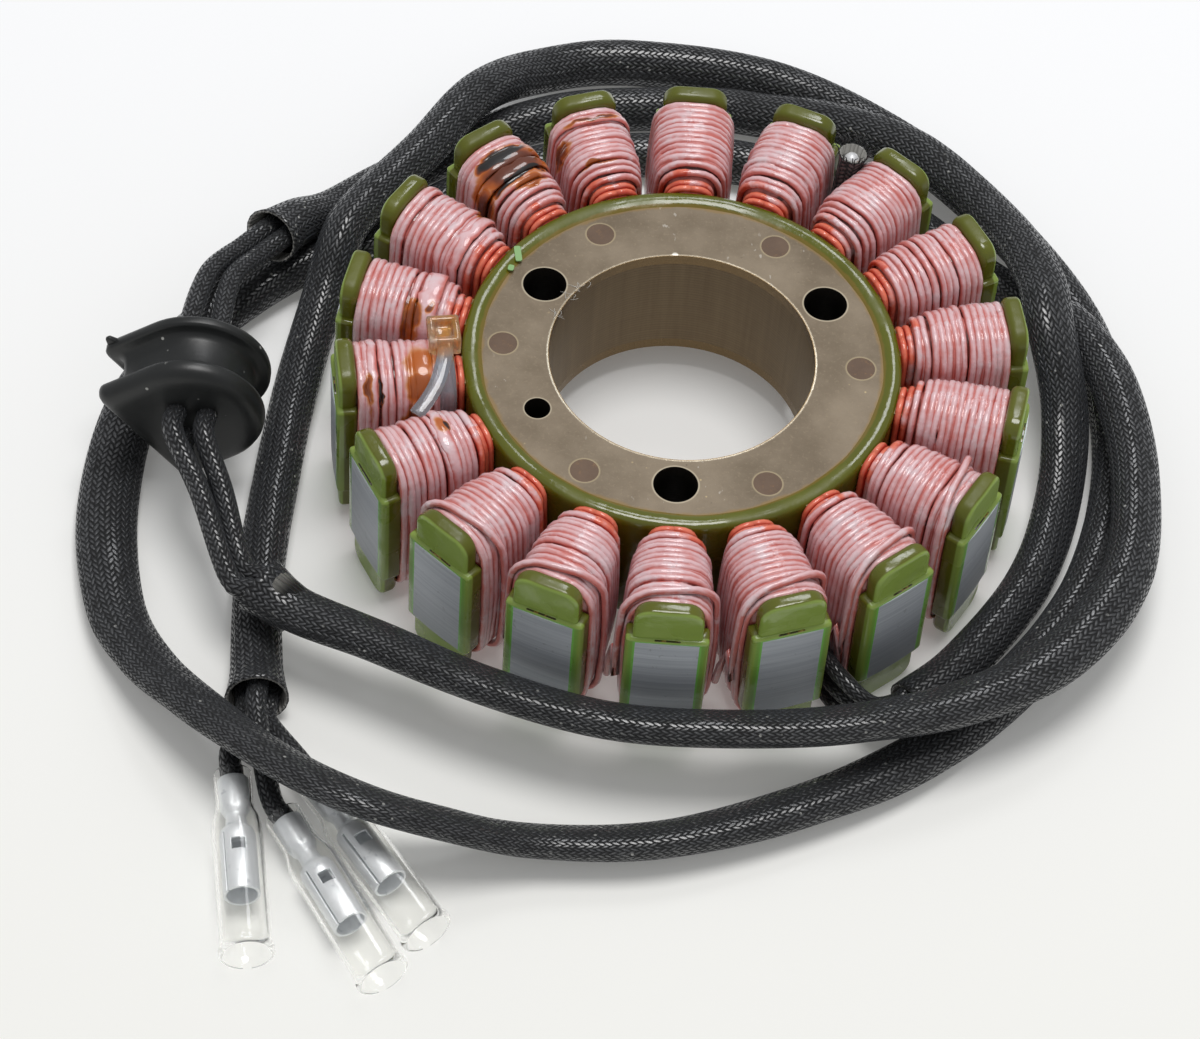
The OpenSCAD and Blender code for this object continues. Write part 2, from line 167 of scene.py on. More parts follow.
# Sizes, in metres, from the frame where it has them
MM = 0.001
POLES = 18
POLE_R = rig.box("lamination_stack")[1].y
STACK_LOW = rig.box("lamination_stack")[0].z
STACK_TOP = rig.box("lamination_stack")[1].z
STACK_HALF = (STACK_TOP - STACK_LOW) / 2
HUB_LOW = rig.box("rivets")[0].z
HUB_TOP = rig.box("rivets")[1].z
LIP_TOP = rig.box("epoxy_coat")[1].z
MID_Z = LIP_TOP / 2
COIL_IN = -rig.box("coil_11")[1].y
COIL_OUT = -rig.box("coil_11")[0].y
BORE_R = 19.8 * MM
FACE_R = 30 * MM
RIM_R = 32.6 * MM
ARM_W = 6.4 * MM
ARM_H = 22.2 * MM
HEAD_W = 9.1 * MM
BASE_W = 11.9 * MM
BASE_H = 18.6 * MM
LIP_W = 10 * MM
LIP_BACK = 48.6 * MM
LIP_FRONT = 51.3 * MM
SCREW_R = 3.25 * MM
PIN_R = 1.9 * MM
RIVET_R = 2.1 * MM
WIRE_D = 1.16 * MM
LEAD_R = 1.6 * MM
TIE_POLE = 15
TIE_X = 35.3 * MM
UP = Vector((0, 0, 1))

# Photograph's camera: place and axes in the part's frame, focal length and sensor width in millimetres
CAMERA_AT = (-15.245 * MM, -378.944 * MM, 469.816 * MM)
CAMERA_RIGHT = (0.99746437, 0.0506208, 0.05002374)
CAMERA_UP = (-0.07068601, 0.78632542, 0.61375551)
CAMERA_AHEAD = (0.00826614, 0.61573523, -0.78790977)
CAMERA_LENS = 118.07
CAMERA_SENSOR = 36


# Shader maths
def rgb(red, green, blue):
    """A colour as the eye reads it, from 0 to 255, in the linear form that shaders take."""
    parts = [c / 255 for c in (red, green, blue)]
    return (*[c / 12.92 if c <= 0.04045 else ((c + 0.055) / 1.055) ** 2.4 for c in parts], 1.0)


class Value:
    """One output of a node. Sums and products of values add Math nodes."""

    def __init__(self, finish, socket):
        self.finish = finish
        self.socket = socket

    def math(self, operation, *terms):
        return self.finish.add("ShaderNodeMath", {"operation": operation}, terms)

    def __add__(self, other):
        return self.math("ADD", self, other)

    def __radd__(self, other):
        return self.math("ADD", other, self)

    def __sub__(self, other):
        return self.math("SUBTRACT", self, other)

    def __rsub__(self, other):
        return self.math("SUBTRACT", other, self)

    def __mul__(self, other):
        return self.math("MULTIPLY", self, other)

    def __rmul__(self, other):
        return self.math("MULTIPLY", other, self)

    def __truediv__(self, other):
        return self.math("DIVIDE", self, other)

    def __lt__(self, other):
        return self.math("LESS_THAN", self, other)


class Finish:
    """A material with one principled shader, its even values set on the shader itself."""

    def __init__(self, name, **even):
        self.material = bpy.data.materials.new(name)
        self.material.use_nodes = True
        self.tree = self.material.node_tree
        self.shader = self.tree.nodes["Principled BSDF"]
        for key, value in even.items():
            self.shader.inputs[key.replace("_", " ")].default_value = value
        self.place = self.add("ShaderNodeTexCoord", out="Object")
        self.colour = None

    def add(self, kind, settings=None, sockets=(), out=0):
        """Adds a node: settings first, then sockets by place or name. Returns one of its outputs."""
        node = self.tree.nodes.new(kind)
        for key, value in (settings or {}).items():
            if key == "stops":
                self.set_stops(node.color_ramp, value)
            else:
                setattr(node, key, value)
        pairs = sockets.items() if isinstance(sockets, dict) else enumerate(sockets)
        for key, value in pairs:
            self.put(node.inputs[key], value)
        return Value(self, node.outputs[out])

    def set_stops(self, ramp, stops):
        while len(ramp.elements) < len(stops):
            ramp.elements.new(1)
        for element, (place, colour) in zip(ramp.elements, stops):
            element.position = place
            element.color = colour

    def put(self, socket, value):
        if isinstance(value, Value):
            self.tree.links.new(value.socket, socket)
        else:
            socket.default_value = value

    def feed(self, **inputs):
        """Links the colour and other values to the shader's inputs."""
        self.put(self.shader.inputs["Base Color"], self.colour)
        for key, value in inputs.items():
            self.put(self.shader.inputs[key.replace("_", " ")], value)
        return self.material

    def uv(self):
        return self.add("ShaderNodeTexCoord", out="UV")

    def attribute(self, name):
        return self.add("ShaderNodeAttribute", {"attribute_name": name}, out="Fac")

    def split(self, vector):
        first = self.add("ShaderNodeSeparateXYZ", None, [vector])
        return [Value(self, socket) for socket in first.socket.node.outputs]

    def join(self, x, y, z):
        return self.add("ShaderNodeCombineXYZ", None, [x, y, z])

    def noise(self, scale, detail, rough=0.55, at=None):
        sockets = {"Vector": at or self.place, "Scale": scale, "Detail": detail, "Roughness": rough}
        return self.add("ShaderNodeTexNoise", None, sockets)

    def cells(self, scale):
        return self.add("ShaderNodeTexVoronoi", None, {"Vector": self.place, "Scale": scale})

    def step(self, value, low, high):
        """0 below low, 1 above high, smooth between; low may be the larger one."""
        flip = low > high
        sockets = {
            "Value": value, "From Min": min(low, high), "From Max": max(low, high),
            "To Min": 1 if flip else 0, "To Max": 0 if flip else 1,
        }
        return self.add("ShaderNodeMapRange", {"interpolation_type": "SMOOTHSTEP"}, sockets)

    def mix(self, share, a, b):
        return self.add("ShaderNodeMix", {"data_type": "RGBA"}, {0: share, 6: a, 7: b}, out=2)

    def blend(self, share, low, high):
        """Starts the colour, between two given as red, green and blue."""
        self.colour = self.mix(share, rgb(*low), rgb(*high))

    def lay(self, share, *colour):
        """Lays a colour, given as red, green and blue or as a value, over those before it."""
        over = rgb(*colour) if len(colour) == 3 else colour[0]
        self.colour = self.mix(share, self.colour, over)

    def far(self, vector, centre):
        """Distance of a point from a centre."""
        return self.add("ShaderNodeVectorMath", {"operation": "DISTANCE"}, [vector, centre], out="Value")

    def from_axis(self, x, y):
        """Distance of a point from the part's axis."""
        return self.far(self.join(x, y, 0), (0, 0, 0))

    def bump(self, height, distance, strength=1.0):
        sockets = {"Strength": strength, "Distance": distance, "Height": height}
        return self.add("ShaderNodeBump", None, sockets)


# Meshes
def add_object(name, data):
    made = bpy.data.objects.new(name, data)
    bpy.context.scene.collection.objects.link(made)
    return made


def loft(rings):
    """Faces between rings of points that run anticlockwise about the way ahead, and over both ends."""
    n = len(rings[0])
    points = [p for ring in rings for p in ring]
    faces = [
        (i * n + k, i * n + (k + 1) % n, (i + 1) * n + (k + 1) % n, (i + 1) * n + k)
        for i in range(len(rings) - 1)
        for k in range(n)
    ]
    faces.append(tuple(reversed(range(n))))
    faces.append(tuple(range(len(points) - n, len(points))))
    return points, faces


def headings(points):
    last = len(points) - 1
    return [(points[min(i + 1, last)] - points[max(i - 1, 0)]).normalized() for i in range(last + 1)]


def line_length(line):
    return sum((b - a).length for a, b in zip(line, line[1:]))


def eased(t):
    """A share from 0 to 1, made slow at both ends."""
    return t * t * (3 - 2 * t)


class Tubes:
    """Swept tubes gathered into one mesh, with the attributes that their finish reads."""

    def __init__(self):
        self.points = []
        self.faces = []
        self.uvs = []
        self.crown = []
        self.tone = []

    def loft(self, rings, crowns, tones, lengths):
        n = len(rings[0])
        points, faces = loft(rings)
        start = len(self.points)
        self.points += points
        for f in faces:
            self.faces.append([start + v for v in f])
            spots = []
            around = {v % n for v in f}
            for v in f:
                k = v % n
                turn = 1 if k == 0 and n - 1 in around and len(f) == 4 else k / n
                spots.append((turn, lengths[v // n] / MM))
            self.uvs += spots
        self.crown += [c for ring in crowns for c in ring]
        self.tone += [t for t in tones for _ in range(n)]

    def sweep(self, points, ups, wide, high, sides=8, tone=0, hollow=None):
        """A tube along points. Its half sizes are wide across and high along ups, even or a list.

        A hollow tube has a wall thickness and a depth to which its ends are open."""
        count = len(points)
        wides = wide if isinstance(wide, list) else [wide] * count
        highs = high if isinstance(high, list) else [high] * count
        tones = tone if isinstance(tone, list) else [tone] * count
        turns = [2 * math.pi * k / sides for k in range(sides)]
        rings, lengths, length = [], [], 0
        frames = []
        for i, ahead in enumerate(headings(points)):
            up = (ups[i] - ahead * ups[i].dot(ahead)).normalized()
            frames.append((up, ahead.cross(up), ahead))
            if i:
                length += (points[i] - points[i - 1]).length
            lengths.append(length)
        for p, (up, side, ahead), w, h in zip(points, frames, wides, highs):
            rings.append([p + up * (h * math.cos(a)) + side * (w * math.sin(a)) for a in turns])
        if hollow:
            wall, depth = hollow
            # Tone -1 marks the floor inside an open end and -0.5 its mouth; the braid's finish paints that floor dark
            # as shade.
            for end, inward in ((0, 1), (-1, -1)):
                up, side, ahead = frames[end]
                w, h = wides[end] - wall, highs[end] - wall
                inner = [up * (h * math.cos(a)) + side * (w * math.sin(a)) for a in turns]
                mouth = [points[end] + v for v in inner]
                floor = [points[end] + ahead * (inward * depth) + v * 0.9 for v in inner]
                if end == 0:
                    rings = [floor, mouth] + rings
                    tones = [-1, -0.5] + tones
                    lengths = [lengths[0]] * 2 + lengths
                else:
                    rings = rings + [mouth, floor]
                    tones = tones + [-0.5, -1]
                    lengths = lengths + [lengths[-1]] * 2
        crowns = [[math.cos(a) for a in turns]] * len(rings)
        self.loft(rings, crowns, tones, lengths)

    def piece(self, name, transform=None):
        mesh = bpy.data.meshes.new(name)
        mesh.from_pydata(self.points, [], self.faces)
        layer = mesh.uv_layers.new(name="UVMap")
        layer.data.foreach_set("uv", [c for spot in self.uvs for c in spot])
        for key, values in (("crown", self.crown), ("tone", self.tone)):
            mesh.attributes.new(key, "FLOAT", "POINT").data.foreach_set("value", values)
        if transform:
            mesh.transform(transform)
        mesh.polygons.foreach_set("use_smooth", [True] * len(mesh.polygons))
        return add_object(name, mesh)


def smooth_line(points, gap):
    """A smooth curve through points, with a point about every gap."""
    ends = [points[0] * 2 - points[1]] + points + [points[-1] * 2 - points[-2]]
    line = []
    for a, b, c, d in zip(ends, ends[1:], ends[2:], ends[3:]):
        count = max(2, round((c - b).length / gap))
        for i in range(count):
            t = i / count
            line.append(
                0.5 * ((2 * b) + (c - a) * t + (2 * a - 5 * b + 4 * c - d) * t ** 2
                       + (3 * b - a - 3 * c + d) * t ** 3)
            )
    return line + [points[-1]]


def set_finish(piece, material):
    piece.data.materials.clear()
    piece.data.materials.append(material)


def dress(piece, material, slot, *nodes):
    """Gives a piece its finish, its record slot and its body, and hides the nodes it stands for."""
    set_finish(piece, material)
    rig.ride(piece, "root")
    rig.slot(piece, slot)
    if nodes:
        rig.replaces(piece, *nodes)
    return piece


# Work in edit mode
def add_cube(name, size, centre):
    """A block in edit mode."""
    bpy.ops.object.select_all(action="DESELECT")
    bpy.ops.mesh.primitive_cube_add(size=1)
    piece = bpy.context.object
    piece.name = name
    bpy.ops.object.mode_set(mode="EDIT")
    bpy.ops.transform.resize(value=size)
    bpy.ops.transform.translate(value=centre)
    return piece


def add_ring(name, outline):
    """A circle primitive in edit mode, its points moved to an outline."""
    bpy.ops.object.select_all(action="DESELECT")
    bpy.ops.mesh.primitive_circle_add(vertices=len(outline), radius=1, fill_type="NGON")
    piece = bpy.context.object
    piece.name = name
    for vertex, point in zip(piece.data.vertices, outline):
        vertex.co = point
    bpy.ops.object.mode_set(mode="EDIT")
    return piece


def add_loop(name, outline):
    """A ring without its face, all of it selected."""
    piece = add_ring(name, outline)
    bpy.ops.mesh.select_all(action="SELECT")
    bpy.ops.mesh.delete(type="ONLY_FACE")
    bpy.ops.mesh.select_all(action="SELECT")
    return piece


def add_turned(name, outline, steps):
    """An outline turned round the Z axis, in edit mode."""
    piece = add_loop(name, outline)
    bpy.ops.mesh.spin(steps=steps, angle=2 * math.pi, center=(0, 0, 0), axis=(0, 0, 1))
    return piece


def pick(kind, test):
    """Selects the edges or faces that pass a test."""
    bpy.ops.mesh.select_mode(type=kind)
    bpy.ops.mesh.select_all(action="DESELECT")
    shape = bmesh.from_edit_mesh(bpy.context.object.data)
    for part in shape.edges if kind == "EDGE" else shape.faces:
        if test(part):
            part.select_set(True)
    shape.select_flush_mode()
    bmesh.update_edit_mesh(bpy.context.object.data)


def round_edges(size, segments, test):
    """Bevels the edges that pass a test."""
    pick("EDGE", test)
    bpy.ops.mesh.bevel(offset=size, segments=segments, affect="EDGES")


def middle(part):
    points = [v.co for v in part.verts]
    return sum(points, Vector()) / len(points)


def runs_along(edge, axis):
    """True for an edge that runs along one axis."""
    way = (edge.verts[1].co - edge.verts[0].co).normalized()
    return abs(way[axis]) > 0.99


def extrude(move, resize=None):
    bpy.ops.mesh.extrude_region_move(TRANSFORM_OT_translate={"value": move})
    if resize:
        bpy.ops.transform.resize(value=resize)


def close_up(piece, smooth_deg=40):
    """Leaves edit mode with merged points and smooth faces."""
    bpy.ops.mesh.select_all(action="SELECT")
    bpy.ops.mesh.remove_doubles(threshold=0.000005)
    bpy.ops.mesh.normals_make_consistent(inside=False)
    bpy.ops.object.mode_set(mode="OBJECT")
    bpy.ops.object.shade_smooth_by_angle(angle=math.radians(smooth_deg))
    return piece


def apply_modifier(piece, kind, **settings):
    bpy.context.view_layer.objects.active = piece
    made = piece.modifiers.new(kind, kind)
    for key, value in settings.items():
        setattr(made, key, value)
    bpy.ops.object.modifier_apply(modifier=made.name)


def join(name, pieces):
    bpy.ops.object.select_all(action="DESELECT")
    for piece in pieces:
        piece.select_set(True)
    bpy.context.view_layer.objects.active = pieces[0]
    bpy.ops.object.join()
    pieces[0].name = name
    return pieces[0]


# Places
def pole_turn(k):
    """Direction of a pole, numbered as the frame's coils are, coil 11 at 270 degrees."""
    return math.radians(270 + 360 / POLES * (11 - k))


def pole_frame(k):
    """Turns a pole's own frame, with X out along it and Z up from mid height, into the part's."""
    return Matrix.Translation((0, 0, MID_Z)) @ Matrix.Rotation(pole_turn(k), 4, "Z")


def at_pole(k, x, y, z):
    """A point in millimetres in a pole's own frame, in the part's frame."""
    return pole_frame(k) @ Vector((x * MM, y * MM, z * MM))


def polar(degrees, radius, z):
    a = math.radians(degrees)
    return Vector((radius * math.cos(a), radius * math.sin(a), z)) * MM


# Screw holes, locating hole and rivets of the hub, seen from above
SCREWS = [polar(a, 24.4, 0) for a in (30, 150, 270)]
PINS = [polar(210, 24, 0)]
RIVETS = [polar(a, 26.6, 0) for a in range(0, 360, 60)]


# Camera and light
def add_camera():
    data = bpy.data.cameras.new("camera")
    data.lens = CAMERA_LENS
    data.sensor_width = CAMERA_SENSOR
    camera = add_object("camera", data)
    back = [-c for c in CAMERA_AHEAD]
    turn = Matrix((CAMERA_RIGHT, CAMERA_UP, back)).transposed().to_4x4()
    camera.matrix_world = Matrix.Translation(CAMERA_AT) @ turn
    bpy.context.scene.camera = camera


def add_lamp(name, place, size, power, colour):
    data = bpy.data.lights.new(name, "AREA")
    data.shape = "DISK"
    data.size = size
    data.energy = power
    data.color = colour
    lamp = add_object(name, data)
    lamp.location = place
    lamp.rotation_mode = "QUATERNION"
    lamp.rotation_quaternion = Vector(place).to_track_quat("Z", "Y")


def add_world():
    world = bpy.data.worlds.new("studio")
    world.use_nodes = True
    bpy.context.scene.world = world
    shader = world.node_tree.nodes["Background"]
    shader.inputs["Color"].default_value = (0.97, 0.98, 1.0, 1)
    shader.inputs["Strength"].default_value = 0.4


def add_floor():
    bpy.ops.object.select_all(action="DESELECT")
    bpy.ops.mesh.primitive_grid_add(x_subdivisions=8, y_subdivisions=8, size=6)
    floor = bpy.context.object
    floor.name = "floor"
    finish = Finish("floor", Roughness=0.9, Specular_IOR_Level=0.1, Emission_Strength=0.13)
    _, y, _ = finish.split(finish.place)
    cool = finish.step(y, -0.12, 0.12)
    finish.blend(cool, (233, 233, 229), (237, 238, 240))
    floor.data.materials.append(finish.feed(Emission_Color=rgb(255, 254, 250)))
    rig.stage(floor)


# Finishes
def braid_finish(name, threads, pitch, dark, light):
    """Black coated braid: two sets of yarns cross over and under two at a time round the tube."""
    finish = Finish(
        name, Coat_Roughness=0.24, Coat_IOR=1.65, Specular_IOR_Level=0.6,
        Sheen_Weight=0.06, Sheen_Roughness=0.4, Sheen_Tint=rgb(205, 214, 228),
    )
    u, v, _ = finish.split(finish.uv())
    stray = 0.9 * (finish.noise(200, 2) - 0.5)
    p = u * threads + v / pitch + stray
    q = u * threads - v / pitch - stray
    cell_p = p.math("FLOOR", p)
    cell_q = q.math("FLOOR", q)
    phase = p.math("FLOORED_MODULO", cell_p + cell_q, 4)
    over = phase < 1.5
    share_p = p - cell_p
    share_q = q - cell_q
    hill_p = share_p.math("SINE", share_p * math.pi)
    hill_q = share_q.math("SINE", share_q * math.pi)
    ply = over * hill_p + (1 - over) * hill_q
    along = 0.5 * (over * (phase + share_q) + (1 - over) * (phase - 2 + share_p))
    arch = along.math("SINE", along * math.pi)
    odd = finish.noise(1.0, 1, at=finish.join(cell_p * 0.37, cell_q * 0.41, over * 5.3))
    height = ply.math("POWER", ply, 0.7) * (0.4 + 0.6 * arch) * (0.15 + 1.7 * odd)
    dust = finish.step(finish.noise(1700, 4, 0.7), 0.6, 0.7)
    haze = finish.noise(90, 3)
    # Painted sparkle: small white glints on the yarns where the haze is middling.
    painted_sparkle = finish.step(finish.cells(460), 0.13, 0.07)
    # Painted shade: the gaps between the yarns go near black and the yarn crowns lighter, though the braid itself is
    # evenly black.
    finish.blend(finish.step(height, 0.2, 1.0), dark, light)
    finish.lay(dust * finish.step(haze, 0.4, 0.7) * 0.35, 128, 130, 134)
    finish.lay(painted_sparkle * finish.step(haze, 0.42, 0.62) * 0.6, 205, 205, 200)
    tone = finish.attribute("tone")
    # Painted shade: the inside of an open end, deeper than its mouth, goes near black.
    finish.lay(finish.step(tone, -0.2, -0.9), 12, 12, 13)
    rim = finish.step(tone.math("ABSOLUTE", tone + 0.5), 0.35, 0.15)
    finish.lay(rim * 0.85, 158, 156, 150)
    ridge = finish.step(height, 0.45, 0.9)
    rough = 0.32 + 0.4 * (1 - ridge) + 0.2 * finish.noise(700, 2)
    return finish.feed(
        Roughness=rough, Coat_Weight=ridge,
        Normal=finish.bump(height + 0.14 * finish.noise(4000, 2), 0.3 * MM),
    )


# Varnish runs on the coils: pole, place on it, half sizes and depth of colour from 0 to 1
STAINS = [
    (18, (45.2, 0.5, 14.5), (1.5, 5.5, 3.5), 1.0),
    (18, (42.6, 0, 13.5), (3.4, 7, 5.5), 0.66),
    (18, (40.6, 0.5, 14), (0.7, 6, 4), 0.95),
    (18, (42.6, 5.2, 11), (1.8, 2.5, 6), 0.45),
    (18, (38.8, -1, 14), (1.0, 4, 3), 0.5),
    (18, (41.5, 6, 6), (2.2, 2.5, 8), 0.7),
    (1, (43.5, 5.6, 10), (1.4, 2.2, 4.5), 0.6),
    (1, (46.3, 0, 15), (0.5, 6, 3), 0.62),
    (1, (38.2, 2, 14), (0.5, 5, 3), 0.5),
    (17, (39, -5, 10), (1.6, 1.8, 4), 0.7),
    (16, (40.2, 4.4, 10.8), (1.8, 2.4, 6), 0.56),
    (16, (37.8, 3, 12.6), (0.7, 1.4, 3), 0.6),
    (15, (39.2, 0.5, 14), (2.6, 3.2, 3), 0.42),
    (15, (39.4, 4.2, 11.5), (2.6, 2.6, 5), 0.5),
    (15, (40.5, 6.2, 5), (2, 2.2, 6), 0.6),
    (15, (47, 4.4, 11.2), (0.75, 2.2, 5.5), 0.58),
    (15, (45.3, 4.4, 11), (0.35, 2, 5), 0.95),
    (14, (39.5, -0.8, 14.3), (1.2, 1.8, 2), 0.42),
    (14, (38.8, -0.5, 14.3), (0.5, 1, 2), 0.85),
]


def stain_depth(finish):
    """Depth of the varnish runs, from 0 to 1, with wavering edges."""
    sway = Vector((2.4, 2.4, 2.4)) * MM
    waves = {"Vector": finish.place, "Scale": 330, "Detail": 2}
    stray = finish.add("ShaderNodeTexNoise", None, waves, out="Color")
    warped = finish.add("ShaderNodeVectorMath", {"operation": "MULTIPLY_ADD"}, [stray, sway, finish.place])
    depth = None
    for pole, centre, sizes, strength in STAINS:
        turned = finish.add(
            "ShaderNodeMapping", {"vector_type": "TEXTURE"},
            {"Vector": warped, "Location": at_pole(pole, *centre) + sway / 2,
             "Rotation": (0, 0, pole_turn(pole)), "Scale": [s * MM for s in sizes]},
        )
        spot = finish.step(finish.far(turned, (0, 0, 0)), 1.25, 0.5) * strength
        depth = spot if depth is None else depth.math("MAXIMUM", depth, spot)
    return depth


def wire_finish():
    """Red enamelled wire under clear varnish that is milky in patches and brown where it ran, with a painted pale
    sheen on the crowns and painted shade in the grooves.
    """
    finish = Finish("coil_wire", Coat_Roughness=0.07, Coat_IOR=1.55, Specular_IOR_Level=0.3)
    u, v, _ = finish.split(finish.uv())
    crown = finish.attribute("crown")
    tone = finish.attribute("tone")
    streak = finish.noise(1.0, 3, 0.6, at=finish.join(v * 0.22, u * 3, tone * 40))
    milk = finish.noise(260, 3, 0.6)
    # Painted sheen: the crowns of the wires go pale, as the overhead light leaves them; the enamel itself is salmon
    # red.
    crown_sheen = finish.step(crown + 1.1 * (streak - 0.5) + (milk - 0.5), 0.35, 1.1)
    finish.blend(crown_sheen, (208, 114, 106), (229, 192, 196))
    finish.lay(finish.step(milk + 0.3 * streak, 0.7, 0.86) * 0.7, 226, 206, 210)
    # Painted shade: dark red in the grooves between turns, on the turns' undersides and in the holes of the varnish
    # bed.
    groove_shade = finish.step(crown + 0.9 * (milk - 0.5), -0.15, -0.75)
    finish.lay(groove_shade * 0.92, 96, 30, 22)
    # The turns at the hub are orange-red, paler on their crowns with the same painted sheen.
    hub = finish.step(tone + 0.12 * (milk - 0.5), 0.125, 0.085)
    finish.lay(hub * 0.92, finish.mix(crown_sheen, rgb(192, 50, 24), rgb(236, 116, 80)))
    depth = stain_depth(finish)
    settings = {"stops": [
        (0.0, rgb(218, 170, 160)), (0.26, rgb(204, 132, 70)), (0.42, rgb(184, 92, 16)),
        (0.6, rgb(116, 48, 10)), (0.74, rgb(60, 24, 8)), (0.9, rgb(16, 10, 8)),
    ]}
    stain = finish.add("ShaderNodeValToRGB", settings, [depth])
    finish.lay(finish.step(depth, 0.05, 0.4), stain)
    sunk = finish.step(depth, 0.1, 0.5)
    relief = (finish.noise(620, 3) + 0.4 * streak) * (1 - 0.75 * sunk)
    return finish.feed(
        Roughness=0.22 + 0.3 * finish.noise(900, 2),
        Coat_Weight=0.75 + 0.25 * sunk, Normal=finish.bump(relief, 0.26 * MM, 0.85),
    )


def across_pole(x, y, radius):
    """Distance sideways from the middle of the nearest pole."""
    turn = x.math("ARCTAN2", y, x) * (POLES / (2 * math.pi))
    return x.math("ABSOLUTE", turn.math("FRACT", turn + POLES) - 0.5) * radius * (2 * math.pi / POLES)


def epoxy_finish():
    """Thick olive epoxy, brighter where it was ground with the pole faces."""
    finish = Finish("green_epoxy", Coat_Roughness=0.04, Specular_IOR_Level=0.45)
    x, y, z = finish.split(finish.place)
    radius = finish.from_axis(x, y)
    cloud = finish.noise(110, 4)
    finish.blend(cloud, (77, 81, 10), (103, 107, 24))
    front = finish.step(radius, LIP_FRONT - 0.4 * MM, LIP_FRONT - 0.1 * MM)
    finish.lay(front * 0.85, 138, 162, 74)
    aside = across_pole(x, y, radius)
    level = x.math("ABSOLUTE", z - MID_Z)
    ground = finish.step(radius, POLE_R - 0.3 * MM, POLE_R - 0.15 * MM)
    ground = ground * finish.step(level, STACK_HALF + 0.3 * MM, STACK_HALF)
    strip = finish.step(aside, BASE_W / 2 - 0.25 * MM, BASE_W / 2 - 0.85 * MM)
    finish.lay(ground * strip * 0.8, 112, 156, 66)
    line = finish.step(aside, HEAD_W / 2 + 0.45 * MM, HEAD_W / 2 + 0.15 * MM) * 0.7
    finish.lay(ground * line, 120, 192, 88)
    uneven = radius + 0.5 * MM * (finish.noise(500, 3) - 0.5)
    gold = finish.step(uneven, FACE_R + 0.45 * MM, FACE_R + 0.1 * MM)
    finish.lay(gold * 0.6, 132, 104, 40)
    dull = finish.step(finish.noise(85, 3), 0.44, 0.6)
    return finish.feed(
        Roughness=0.1 + 0.12 * finish.noise(300, 3) + 0.3 * dull,
        Coat_Weight=0.4 - 0.4 * dull,
        Normal=finish.bump(finish.noise(420, 3) + 2.4 * finish.noise(150, 2), 0.2 * MM, 0.6),
    )


def near_spots(finish, spots, inner, outer):
    """1 within a distance of the nearest of some spots seen from above, 0 beyond another."""
    x, y, _ = finish.split(finish.place)
    flat = finish.join(x, y, 0)
    near = None
    for spot in spots:
        gap = finish.far(flat, spot)
        near = gap if near is None else near.math("MINIMUM", near, gap)
    return finish.step(near, outer, inner)


def hole_wall_shade(finish):
    """1 on the walls of the screw holes and the locating hole, where painted shade makes them near black."""
    screws = near_spots(finish, SCREWS, SCREW_R + 0.01 * MM, SCREW_R + 0.05 * MM)
    pin = near_spots(finish, PINS, PIN_R + 0.01 * MM, PIN_R + 0.05 * MM)
    return screws + pin


def plate_finish():
    """Bare steel gone brown, with fine marks, worn bright at the edges of bore and holes."""
    finish = Finish("plate_steel", Specular_IOR_Level=0.5)
    x, y, z = finish.split(finish.place)
    radius = finish.from_axis(x, y)
    cloud = finish.noise(70, 5, 0.6)
    grain = finish.noise(1600, 3, 0.7)
    finish.blend(finish.step(cloud, 0.3, 0.7), (104, 90, 70), (136, 122, 102))
    finish.lay(finish.step(grain, 0.5, 0.75) * 0.4, 154, 139, 116)
    pits = finish.step(finish.noise(900, 4, 0.7), 0.66, 0.74)
    finish.lay(pits * 0.5, 78, 66, 54)
    specks = finish.step(finish.cells(330), 0.07, 0.03) * finish.step(cloud, 0.45, 0.6)
    finish.lay(specks * 0.8, 196, 176, 132)
    scratch = finish.noise(1500, 2, 0.4, at=finish.join(x * 0.12 + y * 0.5, y * 0.03 - x * 0.9, z))
    lines = finish.step(scratch, 0.69, 0.73) * finish.step(finish.noise(60, 2), 0.52, 0.62)
    finish.lay(lines * 0.5, 196, 190, 180)
    bore = finish.step(radius + 0.25 * MM * (grain - 0.5), BORE_R + 0.42 * MM, BORE_R + 0.2 * MM)
    worn = 0.3 + 0.6 * finish.step(finish.noise(50, 2), 0.42, 0.62)
    finish.lay(bore * worn, 198, 190, 172)
    nick = finish.step(finish.far(finish.place, polar(95.2, 20.0, 25.6)), 0.6 * MM, 0.3 * MM)
    finish.lay(nick, 226, 222, 210)
    edge = near_spots(finish, SCREWS, SCREW_R + 0.15 * MM, SCREW_R + 0.35 * MM)
    pin = near_spots(finish, PINS, PIN_R + 0.1 * MM, PIN_R + 0.3 * MM)
    seam = near_spots(finish, RIVETS, RIVET_R + 0.1 * MM, RIVET_R + 0.35 * MM)
    finish.lay((edge + pin) * 0.75, 186, 174, 150)
    finish.lay(seam * 0.55, 176, 160, 126)
    uneven = radius + 1.6 * MM * (finish.noise(300, 4) - 0.5)
    gold = finish.step(uneven, FACE_R - 0.7 * MM, FACE_R - 0.1 * MM)
    finish.lay(gold * 0.6, 140, 110, 50)
    # Painted shade: the walls of the holes go near black.
    finish.lay(hole_wall_shade(finish), 30, 25, 19)
    wall = finish.step(radius, BORE_R + 0.15 * MM, BORE_R + 0.05 * MM)
    finish.lay(wall, 118, 97, 66)
    return finish.feed(
        Metallic=0.25 + 0.5 * bore,
        Roughness=0.5 + 0.25 * (grain - 0.5) - 0.2 * bore,
        Normal=finish.bump(grain - 0.8 * pits - 0.6 * lines, 0.03 * MM, 0.6),
    )


